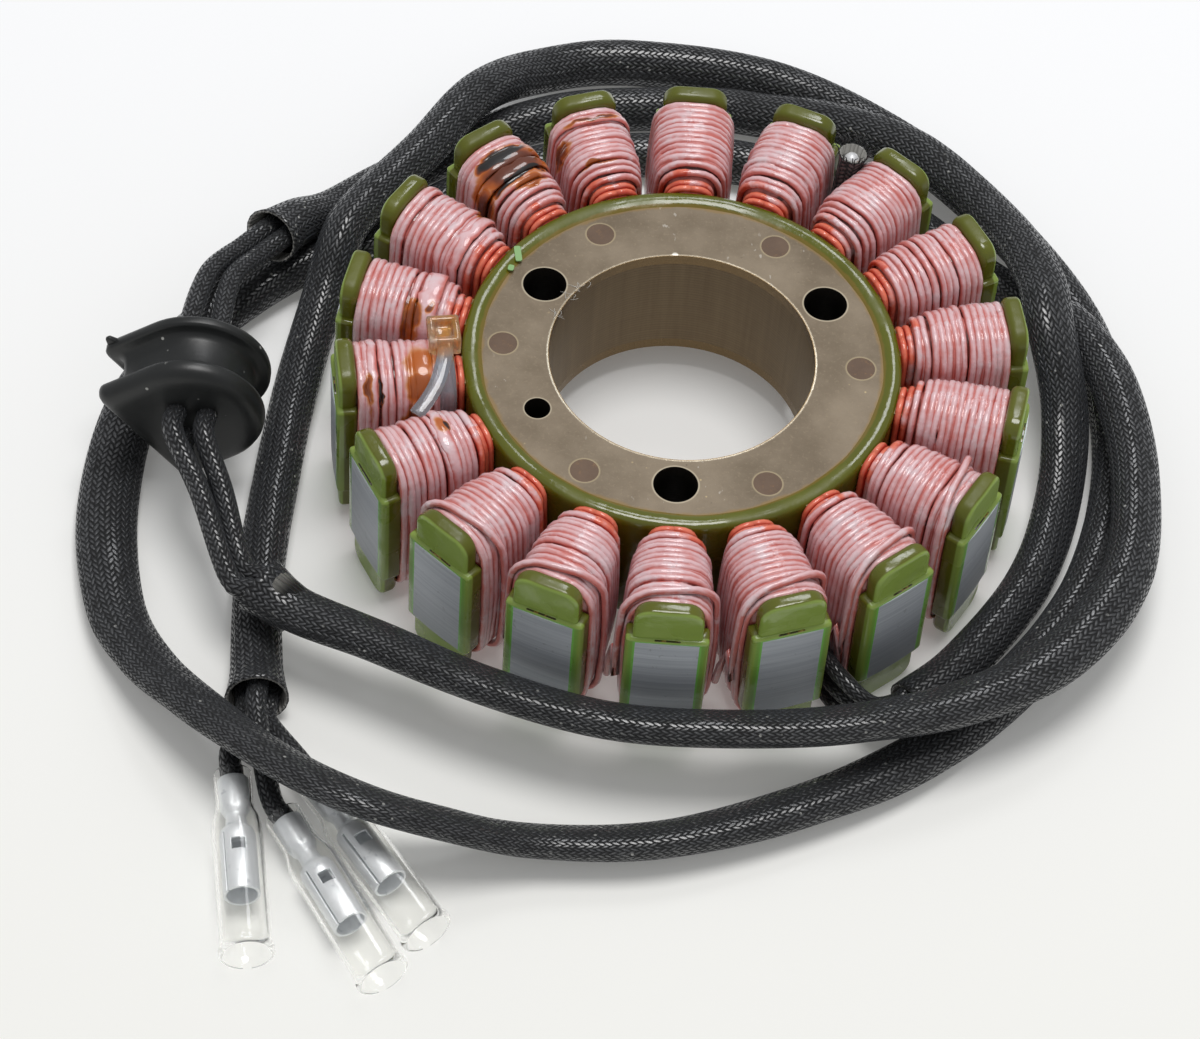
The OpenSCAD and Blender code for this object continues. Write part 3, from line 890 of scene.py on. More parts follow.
def rivet_finish():
    finish = Finish("rivet_steel", Specular_IOR_Level=0.45)
    grain = finish.noise(1300, 4, 0.7)
    cloud = finish.noise(260, 3)
    finish.blend(cloud, (86, 68, 56), (118, 98, 82))
    finish.lay(finish.step(grain, 0.55, 0.75) * 0.5, 152, 118, 84)
    return finish.feed(
        Metallic=0.3 + 0.2 * cloud, Roughness=0.5 + 0.2 * grain,
        Normal=finish.bump(grain, 0.04 * MM, 0.7),
    )


def core_finish():
    """Stacked steel sheets: brown in the bore, ground bright on the pole faces."""
    finish = Finish("core_steel", Specular_IOR_Level=0.5)
    x, y, z = finish.split(finish.place)
    radius = finish.from_axis(x, y)
    sheet = z / (0.55 * MM)
    seam = finish.step(sheet.math("ABSOLUTE", sheet - sheet.math("ROUND", sheet)), 0.12, 0.04)
    tall = finish.noise(1.0, 3, 0.6, at=finish.join(x * 900, y * 900, z * 40))
    level = finish.noise(1.0, 3, 0.6, at=finish.join(x * 30, y * 30, z * 2000))
    brown = finish.mix(0.6 * tall + 0.4 * level, rgb(96, 73, 43), rgb(146, 126, 92))
    brown = finish.mix(seam * 0.45, brown, rgb(66, 52, 36))
    silver = finish.mix(finish.step(level, 0.3, 0.7), rgb(186, 192, 200), rgb(210, 215, 221))
    # Painted shade and reflection: the pole faces go darker towards the bottom, where they face the dark cords.
    silver = finish.mix(finish.step(z, 19 * MM, 6 * MM) * 0.6, silver, rgb(112, 117, 124))
    specks = finish.step(finish.noise(800, 3), 0.66, 0.72)
    silver = finish.mix(specks * 0.3, silver, rgb(110, 112, 118))
    face = finish.step(radius, POLE_R - 0.8 * MM, POLE_R - 0.4 * MM)
    finish.colour = finish.mix(face, brown, silver)
    # Painted shade: the walls of the holes go near black.
    finish.lay(hole_wall_shade(finish), 26, 22, 17)
    return finish.feed(
        Metallic=0.3 + 0.15 * face, Roughness=0.42 - 0.06 * face + 0.14 * level,
        Normal=finish.bump(level * face - seam * (1 - face), 0.02 * MM, 0.5),
    )


def rubber_finish():
    finish = Finish("grommet_rubber", Specular_IOR_Level=0.5)
    cloud = finish.noise(160, 4)
    dust = finish.step(finish.cells(400), 0.13, 0.07) * finish.step(cloud, 0.5, 0.6)
    finish.blend(cloud, (24, 25, 25), (36, 38, 38))
    finish.lay(dust * 0.8, 190, 190, 185)
    return finish.feed(
        Roughness=0.28 + 0.24 * cloud,
        Normal=finish.bump(finish.noise(900, 3), 0.05 * MM, 0.5),
    )


def tin_finish():
    finish = Finish("terminal_tin", Metallic=0.45)
    cloud = finish.noise(420, 4, 0.6)
    stain = finish.step(finish.noise(700, 3), 0.62, 0.72)
    finish.blend(cloud, (228, 231, 234), (248, 250, 251))
    finish.lay(stain * 0.5, 176, 180, 186)
    return finish.feed(
        Roughness=0.34 + 0.2 * cloud,
        Normal=finish.bump(finish.noise(1100, 3), 0.04 * MM, 0.6),
    )


def seen_only(finish, share):
    """Alpha of a clear plastic: whole to the eye, and share of that to the light that falls through it."""
    seen = finish.add("ShaderNodeLightPath", out="Is Camera Ray")
    through = finish.add("ShaderNodeLightPath", out="Is Transmission Ray")
    return share + (1 - share) * seen.math("MAXIMUM", seen, through)


def clear_finish():
    finish = Finish("clear_pvc", Transmission_Weight=1.0, IOR=1.16, Coat_Weight=0.6, Coat_Roughness=0.04)
    cloud = finish.noise(260, 3)
    finish.blend(cloud, (253, 253, 251), (255, 255, 254))
    return finish.feed(
        Roughness=0.02 + 0.06 * cloud, Alpha=seen_only(finish, 0.08),
        Normal=finish.bump(finish.noise(380, 2), 0.05 * MM, 0.4),
    )


def nylon_finish():
    """Clear nylon with brown varnish pooled on it."""
    finish = Finish("tie_nylon", Transmission_Weight=0.7, IOR=1.2, Coat_Weight=1.0, Coat_Roughness=0.04)
    pool = finish.step(finish.noise(420, 3), 0.4, 0.62)
    head = at_pole(TIE_POLE, TIE_X / MM - 0.1, -3.1, 15)
    near = finish.step(finish.far(finish.place, head), 5.2 * MM, 2.6 * MM)
    finish.blend(near * (0.55 + 0.45 * pool), (166, 170, 178), (234, 174, 84))
    return finish.feed(
        Roughness=0.06 + 0.08 * pool, Alpha=seen_only(finish, 0.3),
        Normal=finish.bump(finish.noise(800, 3), 0.05 * MM, 0.5),
    )


def solder_finish():
    finish = Finish("solder", Specular_IOR_Level=0.5)
    cloud = finish.noise(900, 3)
    copper = finish.step(finish.noise(650, 2), 0.6, 0.66)
    finish.blend(cloud, (214, 215, 217), (244, 244, 245))
    finish.lay(copper * 0.8, 190, 110, 70)
    return finish.feed(
        Metallic=0.4 - 0.2 * cloud, Roughness=0.25 + 0.15 * cloud,
        Normal=finish.bump(cloud, 0.1 * MM, 0.7),
    )


def varnish_finish():
    finish = Finish("varnish", Coat_Weight=1.0, Coat_Roughness=0.05, Specular_IOR_Level=0.5)
    cloud = finish.step(finish.noise(900, 3), 0.5, 0.68)
    finish.blend(cloud, (44, 32, 12), (150, 118, 34))
    return finish.feed(Roughness=0.15 + 0.2 * cloud, Normal=finish.bump(cloud, 0.08 * MM, 0.6))


# Harness: angle, distance from the axis and height, then the turn of the flat sleeve and its width
SLEEVE_1 = [
    (309, 57.4, 3.5, 70, 7.0), (320, 57.4, 3.5, 70, 7.2), (338, 58, 3.5, 60, 7.4), (354, 59, 4, 45, 7.8),
    (8, 60.2, 8.6, 30, 8.2), (20, 60.2, 15.8, 20, 8.2), (29, 63, 15.4, 10, 8.0), (40, 66, 12.2, 20, 7.6),
    (54, 68.8, 10.6, 30, 7.2), (62, 70, 9.6, 35, 7.0), (72, 70.8, 7.2, 45, 7.0), (80, 71.4, 4.8, 55, 7.0),
    (88, 72, 3.6, 60, 7.0), (106, 71.6, 3.5, 50, 7.0), (122, 70.2, 3.5, 40, 7.0), (134, 69.6, 4, 20, 7.2),
    (144, 69.6, 6.4, 10, 7.4), (150, 70.4, 10.2, 5, 7.4), (155, 71, 11.2, 0, 7.6),
]
SLEEVE_2 = [
    (212, 70, 10.8, -10, 8.0), (218, 66.7, 11.1, -20, 8.2), (228, 61.5, 11.5, -30, 8.4),
    (244, 58.3, 12, -36, 8.6), (262, 57.6, 12, -40, 8.6), (280, 58, 12, -40, 8.6),
    (297, 61, 11.8, -35, 8.6), (313, 65.8, 11.2, -20, 8.4), (327, 70, 11, 0, 8.2),
    (341, 71.7, 10.8, 20, 8.0), (356, 69.8, 10.8, 20, 7.8), (10, 68.3, 10.8, 10, 7.6),
    (20, 66.4, 10.2, 10, 7.4), (25, 64.8, 8.9, 15, 7.2), (30, 63, 6.5, 20, 7.2), (40, 61.3, 4, 40, 7.0),
    (56, 61.3, 3.5, 50, 7.0), (75, 61.3, 3.5, 50, 7.0), (94, 61.3, 3.5, 50, 7.0), (112, 61.3, 3.5, 50, 7.0),
    (128, 60.9, 3.5, 50, 7.0), (141, 60.9, 3.5, 50, 7.0), (147, 63, 3.5, 45, 7.0), (152, 68, 3.5, 30, 7.4),
    (166, 76, 3.5, 0, 8.0), (178, 82.4, 3.5, 0, 8.8), (192, 86, 3.5, 0, 9.2), (204, 88.4, 3.5, -10, 9.0),
    (212, 88.2, 5, -20, 9.0), (220, 87, 8, -30, 9.0), (231, 86, 11, -40, 9.2), (240, 84.5, 12, -40, 9.2),
    (248, 80, 8.5, -40, 9.2), (257, 75, 4, -40, 9.0), (271, 71, 3.5, -38, 8.8), (288, 67, 3.5, -30, 8.4),
    (306, 65.5, 3.5, -10, 8.0), (324, 65.2, 3.5, 20, 7.8), (341, 66.2, 3.5, 40, 7.6),
    (358, 67.4, 3.5, 50, 7.4), (13, 69, 3.5, 50, 7.2), (28, 70.6, 3.5, 50, 7.0), (45, 72, 3.5, 40, 7.0),
    (62, 75.6, 3.5, 40, 6.8), (80, 80, 3.5, 40, 6.6), (97, 82, 3.5, 40, 6.6), (108, 80.5, 5, 40, 6.8),
    (118, 73.5, 10.8, 50, 7.2), (130, 66, 11.6, 60, 7.4), (144, 63.2, 11.6, 65, 7.4),
    (150, 62, 10.6, 68, 7.4), (158, 60, 6.4, 70, 7.4), (174, 58.6, 3.5, 60, 7.4), (191, 60.6, 3.5, 50, 7.4),
    (208, 68, 3.5, 30, 7.6), (222, 78.2, 3.5, 10, 7.8),
]
SLEEVE_D = 7 * MM
# Length round a sleeve, the same where it is round and where it lies flat
SLEEVE_ROUND = 22.4 * MM
SLEEVE_FLATTEST = 2.2 * MM
SLEEVE_GAP = 1.3 * MM
MOUTH_REACH = 8 * MM
MOUTH_WIDE = 4.7 * MM
MOUTH_HIGH = 4.3 * MM


def sleeve_route(route):
    return [polar(*point[:3]) for point in route]


def sleeve_piece(name, route, material):
    """A braided sleeve, round where it is narrow and flat where it is wide, resting where its solid rests."""
    points = sleeve_route(route)
    mouths = points[-1:] if route is SLEEVE_1 else [points[0], points[-1]]
    line = smooth_line(points, SLEEVE_GAP)
    counts = [max(2, round((b - a).length / SLEEVE_GAP)) for a, b in zip(points, points[1:])]
    shapes = []
    for i, count in enumerate(counts):
        a, b = route[i], route[i + 1]
        for step in range(count):
            t = eased(step / count)
            shapes.append((a[3] + (b[3] - a[3]) * t, a[4] + (b[4] - a[4]) * t))
    shapes.append((route[-1][3], route[-1][4]))
    middles, ups, wides, highs = [], [], [], []
    for p, ahead, (roll, width) in zip(line, headings(line), shapes):
        mouth = max(0, 1 - min((p - end).length for end in mouths) / MOUTH_REACH) ** 2
        wide = width * MM / 2
        high = math.sqrt(max(0, 2 * (SLEEVE_ROUND / (2 * math.pi)) ** 2 - wide ** 2))
        high = max(SLEEVE_FLATTEST, high)
        wide += (MOUTH_WIDE - wide) * mouth
        high += (MOUTH_HIGH - high) * mouth
        side = ahead.cross(UP).normalized()
        up = side.cross(ahead)
        angle = math.radians(roll)
        reach = math.hypot(wide * math.sin(angle), high * math.cos(angle))
        middles.append(p + Vector((0, 0, reach - SLEEVE_D / 2)))
        ups.append(up * math.cos(angle) + side * math.sin(angle))
        wides.append(wide)
        highs.append(high)
    tubes = Tubes()
    tubes.sweep(middles, ups, wides, highs, sides=20, hollow=(0.45 * MM, 7 * MM))
    return dress(tubes.piece(name), material, "sleeve_braid"), middles


def add_harness():
    braid = braid_finish("sleeve_braid", 34, 1.12, (2, 2, 3), (40, 42, 46))
    for name, route in (("harness_sleeve_1", SLEEVE_1), ("harness_sleeve_2", SLEEVE_2)):
        piece, line = sleeve_piece(name + "_braid", route, braid)
        length = line_length(line)
        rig.replaces(piece, name)
        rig.cord(
            piece, exit=line[0], length=length, diameter=8 * MM, far_end="object",
            stiffness="limp", lay="loose", path=line,
        )


# Windings
TURNS = 15
ROUND_STEPS = 5
# Share of the way from hub to tip, and how far the winding stands off the arm there, in millimetres
BUILD = [
    (0, 0.4), (0.06, 0.5), (0.12, 0.85), (0.16, 1.9), (0.24, 2.15), (0.3, 2.6), (0.55, 3.0), (1, 3.15),
]
# Shares of that way at which the turns of a coil stand apart
GROOVES = {
    1: (0.2, 0.3, 0.85), 2: (0.2,), 3: (0.22,), 4: (0.2, 0.3), 5: (0.3, 0.5, 0.75), 6: (0.25, 0.6),
    7: (0.2,), 8: (0.22, 0.8), 9: (0.18,), 10: (0.2,), 11: (0.16, 0.72), 12: (0.2, 0.62), 13: (0.18,),
    14: (0.2, 0.5, 0.75), 15: (0.3, 0.65, 0.8), 16: (0.5,), 17: (0.25, 0.9), 18: (0.25, 0.4, 0.55, 0.75),
}
# Poles whose last turn crosses over the others and runs down into the slot
TAILS = (8, 9, 10, 11, 12, 13)


def build_at(share):
    """How far the winding stands off the arm at a share of the way from hub to tip."""
    for (a, low), (b, high) in zip(BUILD, BUILD[1:]):
        if share <= b:
            return (low + (high - low) * (share - a) / (b - a)) * MM
    return BUILD[-1][1] * MM


def winding_loop(off):
    """Points round an arm at a distance, with the ways out, anticlockwise from the top seen from the tip."""
    half_w, half_h = ARM_W / 2 + off, ARM_H / 2 + off
    corner = min(half_w - 0.9 * MM, 4.4 * MM)
    flat, tall = half_w - corner, half_h - corner
    spots = [(Vector((0, 0, half_h)), Vector((0, 0, 1)))]

    def bend(y, z, start):
        for i in range(ROUND_STEPS + 1):
            a = math.radians(start + 90 * i / ROUND_STEPS)
            out = Vector((0, math.cos(a), math.sin(a)))
            spots.append((Vector((0, y, z)) + out * corner, out))

    def side(y, z, out):
        for share in (-0.5, 0, 0.5):
            bow = 0.35 * MM * (1 - share * share)
            spots.append((Vector((0, y + out * bow, z * share)), Vector((0, out, 0))))

    bend(-flat, tall, 90)
    side(-half_w, -tall, -1)
    bend(-flat, -tall, 180)
    spots.append((Vector((0, 0, -half_h)), Vector((0, 0, -1))))
    bend(flat, -tall, 270)
    side(half_w, tall, 1)
    bend(flat, tall, 0)
    return spots


def turn_places(k):
    """Distances from the axis of the turns of one coil."""
    gaps = []
    for i in range(TURNS - 1):
        share = (i + 0.5) / (TURNS - 1)
        open_up = sum(abs(share - g) < 0.5 / (TURNS - 1) for g in GROOVES[k])
        gaps.append(1 + 0.42 * open_up)
    first, last = COIL_IN + WIRE_D / 2, COIL_OUT - WIRE_D / 2
    scale = (last - first) / sum(gaps)
    places = [first]
    for gap in gaps:
        places.append(places[-1] + gap * scale)
    return places


def band(tubes, loop, x, wide, high, sides):
    """One closed turn round an arm."""
    turn = loop + loop[:1]
    tubes.sweep([p + Vector((x, 0, 0)) for p, _ in turn], [out for _, out in turn], wide, high, sides)


def ripple(dice, count):
    """A smooth uneven line round a coil, about from -1 to 1."""
    waves = [(n, dice.uniform(0, 2 * math.pi), dice.uniform(0.3, 1)) for n in (1, 2, 3, 5, 8)]
    turns = [2 * math.pi * j / count for j in range(count)]
    return [sum(a * math.sin(n * turn + b) for n, b, a in waves) / 1.7 for turn in turns]


def varnish_bed(tubes, dice, places, builds, shares):
    """The varnish between the turns, nearly up to their crowns, and low where they stand apart."""
    rings, crowns, tones = [], [], []
    count = len(winding_loop(0))
    low = [-0.3] * count

    def add(x, level, offsets, share):
        spots = zip(winding_loop(level), offsets)
        rings.append([p + out * (o * WIRE_D) + Vector((x, 0, 0)) for (p, out), o in spots])
        crowns.append([o * 1.5 if o > 0 else o * 1.7 for o in offsets])
        tones.append(share)

    add(COIL_IN - 0.2 * MM, builds[0], low, shares[0])
    for i, x in enumerate(places):
        add(x, builds[i], low, shares[i])
        if i + 1 < TURNS:
            waves = ripple(dice, count)
            full = 0 if i < 2 else 0.41
            offsets = [min(0.52, full + 0.14 * w) for w in waves]
            if places[i + 1] - x > 1.1 * WIRE_D:
                offsets = [-0.3 + 0.25 * w for w in waves]
            if dice.random() < 0.35:
                hole = dice.choice((0, 1, 2, count - 1, count - 2, count - 3, 5, count - 5))
                offsets[hole] = -0.6
            level = min(builds[i], builds[i + 1])
            add((x + places[i + 1]) / 2, level, offsets, (shares[i] + shares[i + 1]) / 2)
    add(COIL_OUT - 0.05 * MM, builds[-1], low, 1)
    tubes.loft(rings, crowns, tones, [0] * len(rings))


# Thick varnish over some turns: distance from the axis, half width, and height over the crowns
POOLS = {
    1: ((46.4, 0.8, 0.1),), 14: ((39.6, 1.0, 0.05),), 15: ((38.8, 1.5, 0.05), (46.2, 0.8, 0.05)),
    16: ((38.2, 1.6, 0.05),), 17: ((37.6, 1.1, 0.12), (40.2, 0.7, 0.05)),
    18: ((44.6, 1.5, 0.2), (42.0, 1.3, 0.12)),
}


def add_pool(tubes, dice, x, half, over):
    """Thick varnish on some turns, from the right side over the top to the left side."""
    loop = winding_loop(build_at((x * MM - COIL_IN) / (COIL_OUT - COIL_IN)) + (over - 0.3) * MM)
    way = loop[-8:] + loop[:9]
    grow = [math.sin(math.pi * (0.1 + 0.8 * i / (len(way) - 1))) ** 0.5 for i in range(len(way))]
    wave = ripple(dice, len(way))
    tubes.sweep(
        [p + Vector(((x + 0.25 * w) * MM, 0, 0)) for (p, _), w in zip(way, wave)],
        [out for _, out in way], [half * MM * g * (1 + 0.15 * w) for g, w in zip(grow, wave)],
        [0.38 * MM * g for g in grow], 12, 0.5,
    )


def coil_piece(k, material):
    """One coil: a wire wound turn by turn round the arm, set in varnish."""
    dice = random.Random(k)
    places = turn_places(k)
    shares = [(x - COIL_IN) / (COIL_OUT - COIL_IN) for x in places]
    swell = dice.uniform(-0.15, 0.1)
    builds = [build_at(s) + (swell * s + dice.uniform(-0.12, 0.12)) * MM - WIRE_D / 2 for s in shares]
    loops = [winding_loop(b) for b in builds]
    count = len(loops[0])
    tubes = Tubes()
    varnish_bed(tubes, dice, places, builds, shares)
    points, ups, tones, sizes = [], [], [], []
    for i in range(TURNS):
        after = min(i + 1, TURNS - 1)
        slant = dice.uniform(-0.2, 0.2) * MM
        sway, lift, swells = ripple(dice, count), ripple(dice, count), ripple(dice, count)
        for j in range(0 if i else count // 2, count):
            t = j / count
            cross = eased(min(1, max(0, (t - 0.36) / 0.28)))
            (p, out), (q, _) = loops[i][j], loops[after][j]
            spot = p + (q - p) * cross
            ease = min(1, 4 * t, 4 * (1 - t))
            x = places[i] + (places[after] - places[i]) * cross
            x += slant * spot.y / (6 * MM) + 0.1 * MM * sway[j] * ease
            points.append(Vector((x, spot.y, spot.z)) + out * (0.09 * MM * lift[j] * ease))
            ups.append(out)
            tones.append(shares[i])
            sizes.append(WIRE_D / 2 * (1 + 0.1 * swells[j]))
    tubes.sweep(points, ups, sizes, [0.9 * size for size in sizes], 10, tones)
    band(tubes, loops[0], places[0] - 0.15 * MM, 0.48 * WIRE_D, 0.48 * WIRE_D, 10)
    for pool in POOLS.get(k, ()):
        add_pool(tubes, dice, *pool)
    if k in TAILS:
        tubes.sweep(*tail_line(dice), WIRE_D / 2, WIRE_D / 2, 10, 0.9)
    piece = tubes.piece("winding_%02d" % k, pole_frame(k))
    return dress(piece, material, "coil_wire", "coil_%02d" % k)


def tail_line(dice):
    """The last turn: up the right side, slantwise over the top, down the left side into the slot."""
    loop = winding_loop(build_at(1) + dice.uniform(0.1, 0.3) * MM)
    lower_right, lower_left = 18, 10
    way = loop[lower_right:] + loop[:lower_left]
    start = COIL_OUT - dice.uniform(3.4, 4.6) * MM
    points, ups = [], []
    for i, (p, out) in enumerate(way):
        t = i / (len(way) - 1)
        rise = min(1, max(0, (t - 0.3) / 0.5))
        points.append(p + Vector((start + (COIL_OUT - 0.75 * MM - start) * rise, 0, 0)))
        ups.append(out)
    for x, y, z in ((46.6, -7.4, 1), (45.6, -7.9, -4), (44.6, -8, -9)):
        points.append(Vector((x, y, z)) * MM)
        ups.append(Vector((0, -1, 0)))
    return points, ups


# Coat
def rim_wave(angle, seed):
    return sum(math.sin(n * angle + seed * n * 1.7) / n ** 0.5 for n in (5, 9, 14, 23)) / 2


def coat_base():
    """The wide part of a pole head, with the pocket that the ground steel stands in."""
    depth = POLE_R - LIP_BACK
    base = add_cube("pole_base", (depth, BASE_W, BASE_H), (LIP_BACK + depth / 2, 0, 0))
    for half, way in ((HEAD_W / 2, Vector((0, 1, 0))), (STACK_HALF, UP)):
        for side in (1, -1):
            bpy.ops.mesh.select_all(action="SELECT")
            bpy.ops.mesh.bisect(plane_co=way * side * half, plane_no=way)

    def within(part, slack):
        m = middle(part)
        return abs(m.y) < HEAD_W / 2 + slack and abs(m.z) < STACK_HALF + slack

    def outer_edge(edge):
        inside = within(edge, 0.01 * MM)
        return not inside and len(edge.link_faces) == 2 and edge.calc_face_angle(0) > 1

    pick("FACE", lambda f: f.normal.x > 0.9 and within(f, 0))
    extrude((-0.9 * MM, 0, 0))
    round_edges(0.5 * MM, 3, outer_edge)
    shape = bmesh.from_edit_mesh(base.data)
    for v in shape.verts:
        if v.co.x > LIP_BACK + depth / 2:
            v.co.x -= POLE_R - math.sqrt(POLE_R ** 2 - v.co.y ** 2)
    return close_up(base)


def coat_lip():
    """The lip plate of a pole, its corners rounded in plan and its rims thick with epoxy."""
    lip = add_cube(
        "pole_lip", (LIP_FRONT - LIP_BACK, LIP_W, LIP_TOP), ((LIP_FRONT + LIP_BACK) / 2, 0, 0)
    )

    def borders(edge, way):
        return len(edge.link_faces) == 2 and any(way * f.normal.x > 0.99 for f in edge.link_faces)

    round_edges(2.6 * MM, 6, lambda e: runs_along(e, 0))
    round_edges(0.62 * MM, 5, lambda e: borders(e, 1))
    round_edges(1.05 * MM, 5, lambda e: borders(e, -1))
    return close_up(lip)


def coat_arm():
    start, end = RIM_R - 1.5 * MM, LIP_BACK + 0.4 * MM
    arm = add_cube("pole_arm", (end - start, ARM_W - 1.6 * MM, ARM_H - 3 * MM), ((start + end) / 2, 0, 0))
    round_edges(1.6 * MM, 3, lambda e: runs_along(e, 0))
    return close_up(arm)


def coat_rim():
    """The coat round the hub, thick and uneven along its inner edge."""
    half = (HUB_TOP - HUB_LOW) / 2
    top = [
        (FACE_R, 1.4, -0.4), (FACE_R, -0.2, -0.02), (FACE_R, 0.15, 0.22), (FACE_R, 0.8, 0.48),
        (FACE_R, 1.6, 0.55), (RIM_R, -0.3, 0.4), (RIM_R, 0.05, -0.1), (RIM_R, 0.1, -1),
    ]
    outline = [Vector((r + out * MM, 0, half + z * MM)) for r, out, z in top]
    outline += [Vector((p.x, 0, -p.z)) for p in reversed(outline)]
    rim = add_turned("hub_rim", outline, 180)
    shape = bmesh.from_edit_mesh(rim.data)
    for v in shape.verts:
        radius = math.hypot(v.co.x, v.co.y)
        angle = math.atan2(v.co.y, v.co.x)
        if radius < FACE_R + 1.2 * MM:
            grow = 1 + 0.3 * MM * rim_wave(angle, 1 if v.co.z > 0 else 2) / radius
            v.co.x *= grow
            v.co.y *= grow
        if abs(v.co.z) > half + 0.1 * MM:
            v.co.z *= 1 + 0.12 * MM * rim_wave(angle, 3) / half
    return close_up(rim, 60)


def add_coat():
    pole = join("pole_coat", [coat_base(), coat_lip(), coat_arm()])
    bpy.ops.object.mode_set(mode="EDIT")
    bpy.ops.mesh.select_all(action="SELECT")
    for _ in range(POLES - 1):
        bpy.ops.mesh.duplicate()
        bpy.ops.transform.rotate(value=2 * math.pi / POLES, orient_axis="Z", center_override=(0, 0, 0))
    bpy.ops.object.mode_set(mode="OBJECT")
    coat = join("epoxy_coat_skin", [pole, coat_rim()])
    coat.data.transform(Matrix.Translation((0, 0, MID_Z)) @ Matrix.Rotation(math.pi / POLES, 4, "Z"))
    dress(coat, epoxy_finish(), "green_epoxy", "epoxy_coat")


# Leads, as the part's frame has them: their turns round a sleeve's middle, in degrees
FAN = (274, 154, 34)
STATOR_FAN = (240, 0, 120)
PLUG_FAN = (330, 90, 210)
# Holes of the grommet in its own frame, in millimetres
HOLES = ((9, 7.8), (11, 13.1), (14, 9.7))
HOLES_MID = [sum(sides) / len(HOLES) for sides in zip(*HOLES)]
GROMMET_AT = Vector((-73.7, -10.8, 0.5)) * MM
GROMMET_TURN = math.radians(126)
GROMMET_W = 21.8 * MM
GROMMET_H = 20.8 * MM
GROMMET_T = 11.8 * MM
# Mouths of the clear sleeves, in millimetres, and their headings
TERMINALS = [((-55, -95, 3.9), 100), ((-36, -97, 3.9), 123), ((-30.5, -89.5, 3.9), 127)]
# A shorter lead is a stub and no cord
STUB = 30 * MM


def grommet_frame():
    """The grommet's own frame: X along its flat side, Y up its arch, Z through it away from the viewer."""
    c, s = math.cos(GROMMET_TURN), math.sin(GROMMET_TURN)
    turn = Matrix(((c, s, 0), (0, 0, 1), (s, -c, 0))).to_4x4()
    return Matrix.Translation(GROMMET_AT) @ turn


def grommet_point(a, b, depth):
    return grommet_frame() @ (Vector((a, b, depth)) * MM)


def terminal_frame(k):
    """A terminal's own frame: Z in from the mouth along it, X down."""
    mouth, heading = TERMINALS[k]
    turn = Matrix.Rotation(math.radians(heading), 4, "Z") @ Matrix.Rotation(math.pi / 2, 4, "Y")
    return Matrix.Translation(Vector(mouth) * MM) @ turn


def terminal_point(k, along):
    return terminal_frame(k) @ Vector((0, 0, along * MM))


def fanned(ahead, degrees):
    """Place of one of three leads round the way ahead of a sleeve."""
    side = ahead.cross(UP).normalized()
    up = side.cross(ahead)
    a = math.radians(degrees)
    return (side * math.cos(a) + up * math.sin(a)) * (0.96 * 2 * LEAD_R / math.sqrt(3))


def beside(line, start, end):
    """A line moved sideways, by start at its first points and by end at its last ones."""
    return [p + start + (end - start) * t for p, t in zip(line, (0, 0, 0.5, 1, 1))]


def from_mid(k):
    return grommet_point(*HOLES[k], 0) - grommet_point(*HOLES_MID, 0)


def lead_lines():
    """Name, points and thickness of every lead."""
    first, second = sleeve_route(SLEEVE_1), sleeve_route(SLEEVE_2)
    lines = []
    for k in range(3):
        name = str(k + 1)
        start, ahead = first[0], (first[1] - first[0]).normalized()
        line = [polar(300, 44.5, 5.5), polar(300, 51, 5.5), polar(302.5, 57, 5)]
        line += [start - ahead * 2 * MM, start]
        line = beside(line, UP * (k - 1) * 3.6 * MM, fanned(ahead, STATOR_FAN[k]))
        lines.append(("stator_lead_" + name, line, LEAD_R * 0.75))
        end, ahead = first[-1], (first[-1] - first[-2]).normalized()
        hole = grommet_point(*HOLES_MID, GROMMET_T / MM)
        line = [end, end + ahead * 5 * MM, Vector((-70.9, 17.5, 14.8)) * MM]
        line += [hole + Vector((0, 6 * MM, 0)), hole]
        lines.append(("inner_lead_" + name, beside(line, fanned(ahead, FAN[k]), from_mid(k)), LEAD_R))
        start, ahead = second[0], (second[1] - second[0]).normalized()
        hole = grommet_point(*HOLES_MID, 0)
        line = [hole, hole - Vector((0, 4 * MM, 0)), Vector((-67.8, -23, 13.2)) * MM]
        line += [start - ahead * 4 * MM, start]
        lines.append(("middle_lead_" + name, beside(line, from_mid(k), fanned(ahead, FAN[k])), LEAD_R))
        end, ahead = second[-1], (second[-1] - second[-2]).normalized()
        at = end + fanned(ahead, PLUG_FAN[k])
        line = [at, at + ahead * 3 * MM, terminal_point(k, 34), terminal_point(k, 28.5)]
        lines.append(("plug_lead_" + name, line, LEAD_R))
    return lines


def add_leads(material):
    for name, points, radius in lead_lines():
        line = smooth_line(points, 0.8 * MM)
        reach = headings(line)
        line = [line[0] - reach[0] * 3 * MM] + line + [line[-1] + reach[-1] * 1.5 * MM]
        up = reach[0].cross(UP).normalized()
        ups = []
        for ahead in headings(line):
            up = (up - ahead * up.dot(ahead)).normalized()
            ups.append(up)
        tubes = Tubes()
        tubes.sweep(line, ups, radius, radius, 14)
        piece = dress(tubes.piece(name + "_braid"), material, "lead_braid", name)
        length = line_length(line)
        if length > STUB:
            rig.cord(
                piece, exit=line[0], length=length, diameter=2 * radius, far_end="object",
                stiffness="limp", lay="loose", path=line,
            )


# Grommet: depth from its front face and how far its edge is drawn in there, in millimetres
GROMMET_STEPS = [
    (0, 3.2), (0.1, 2.1), (0.4, 1.1), (0.9, 0.45), (1.6, 0.1), (2.4, 0), (2.9, 0.06), (3.15, 0.3),
    (3.25, 0.8), (3.35, 1.6), (3.7, 2.05), (4.4, 2.25), (6.4, 2.4), (8.6, 2.25), (9.3, 2.0), (9.75, 1.4),
    (9.9, 0.6), (10.05, 0.15), (10.3, 0), (11.1, 0), (11.5, 0.12), (11.75, 0.5), (11.8, 1.2),
]


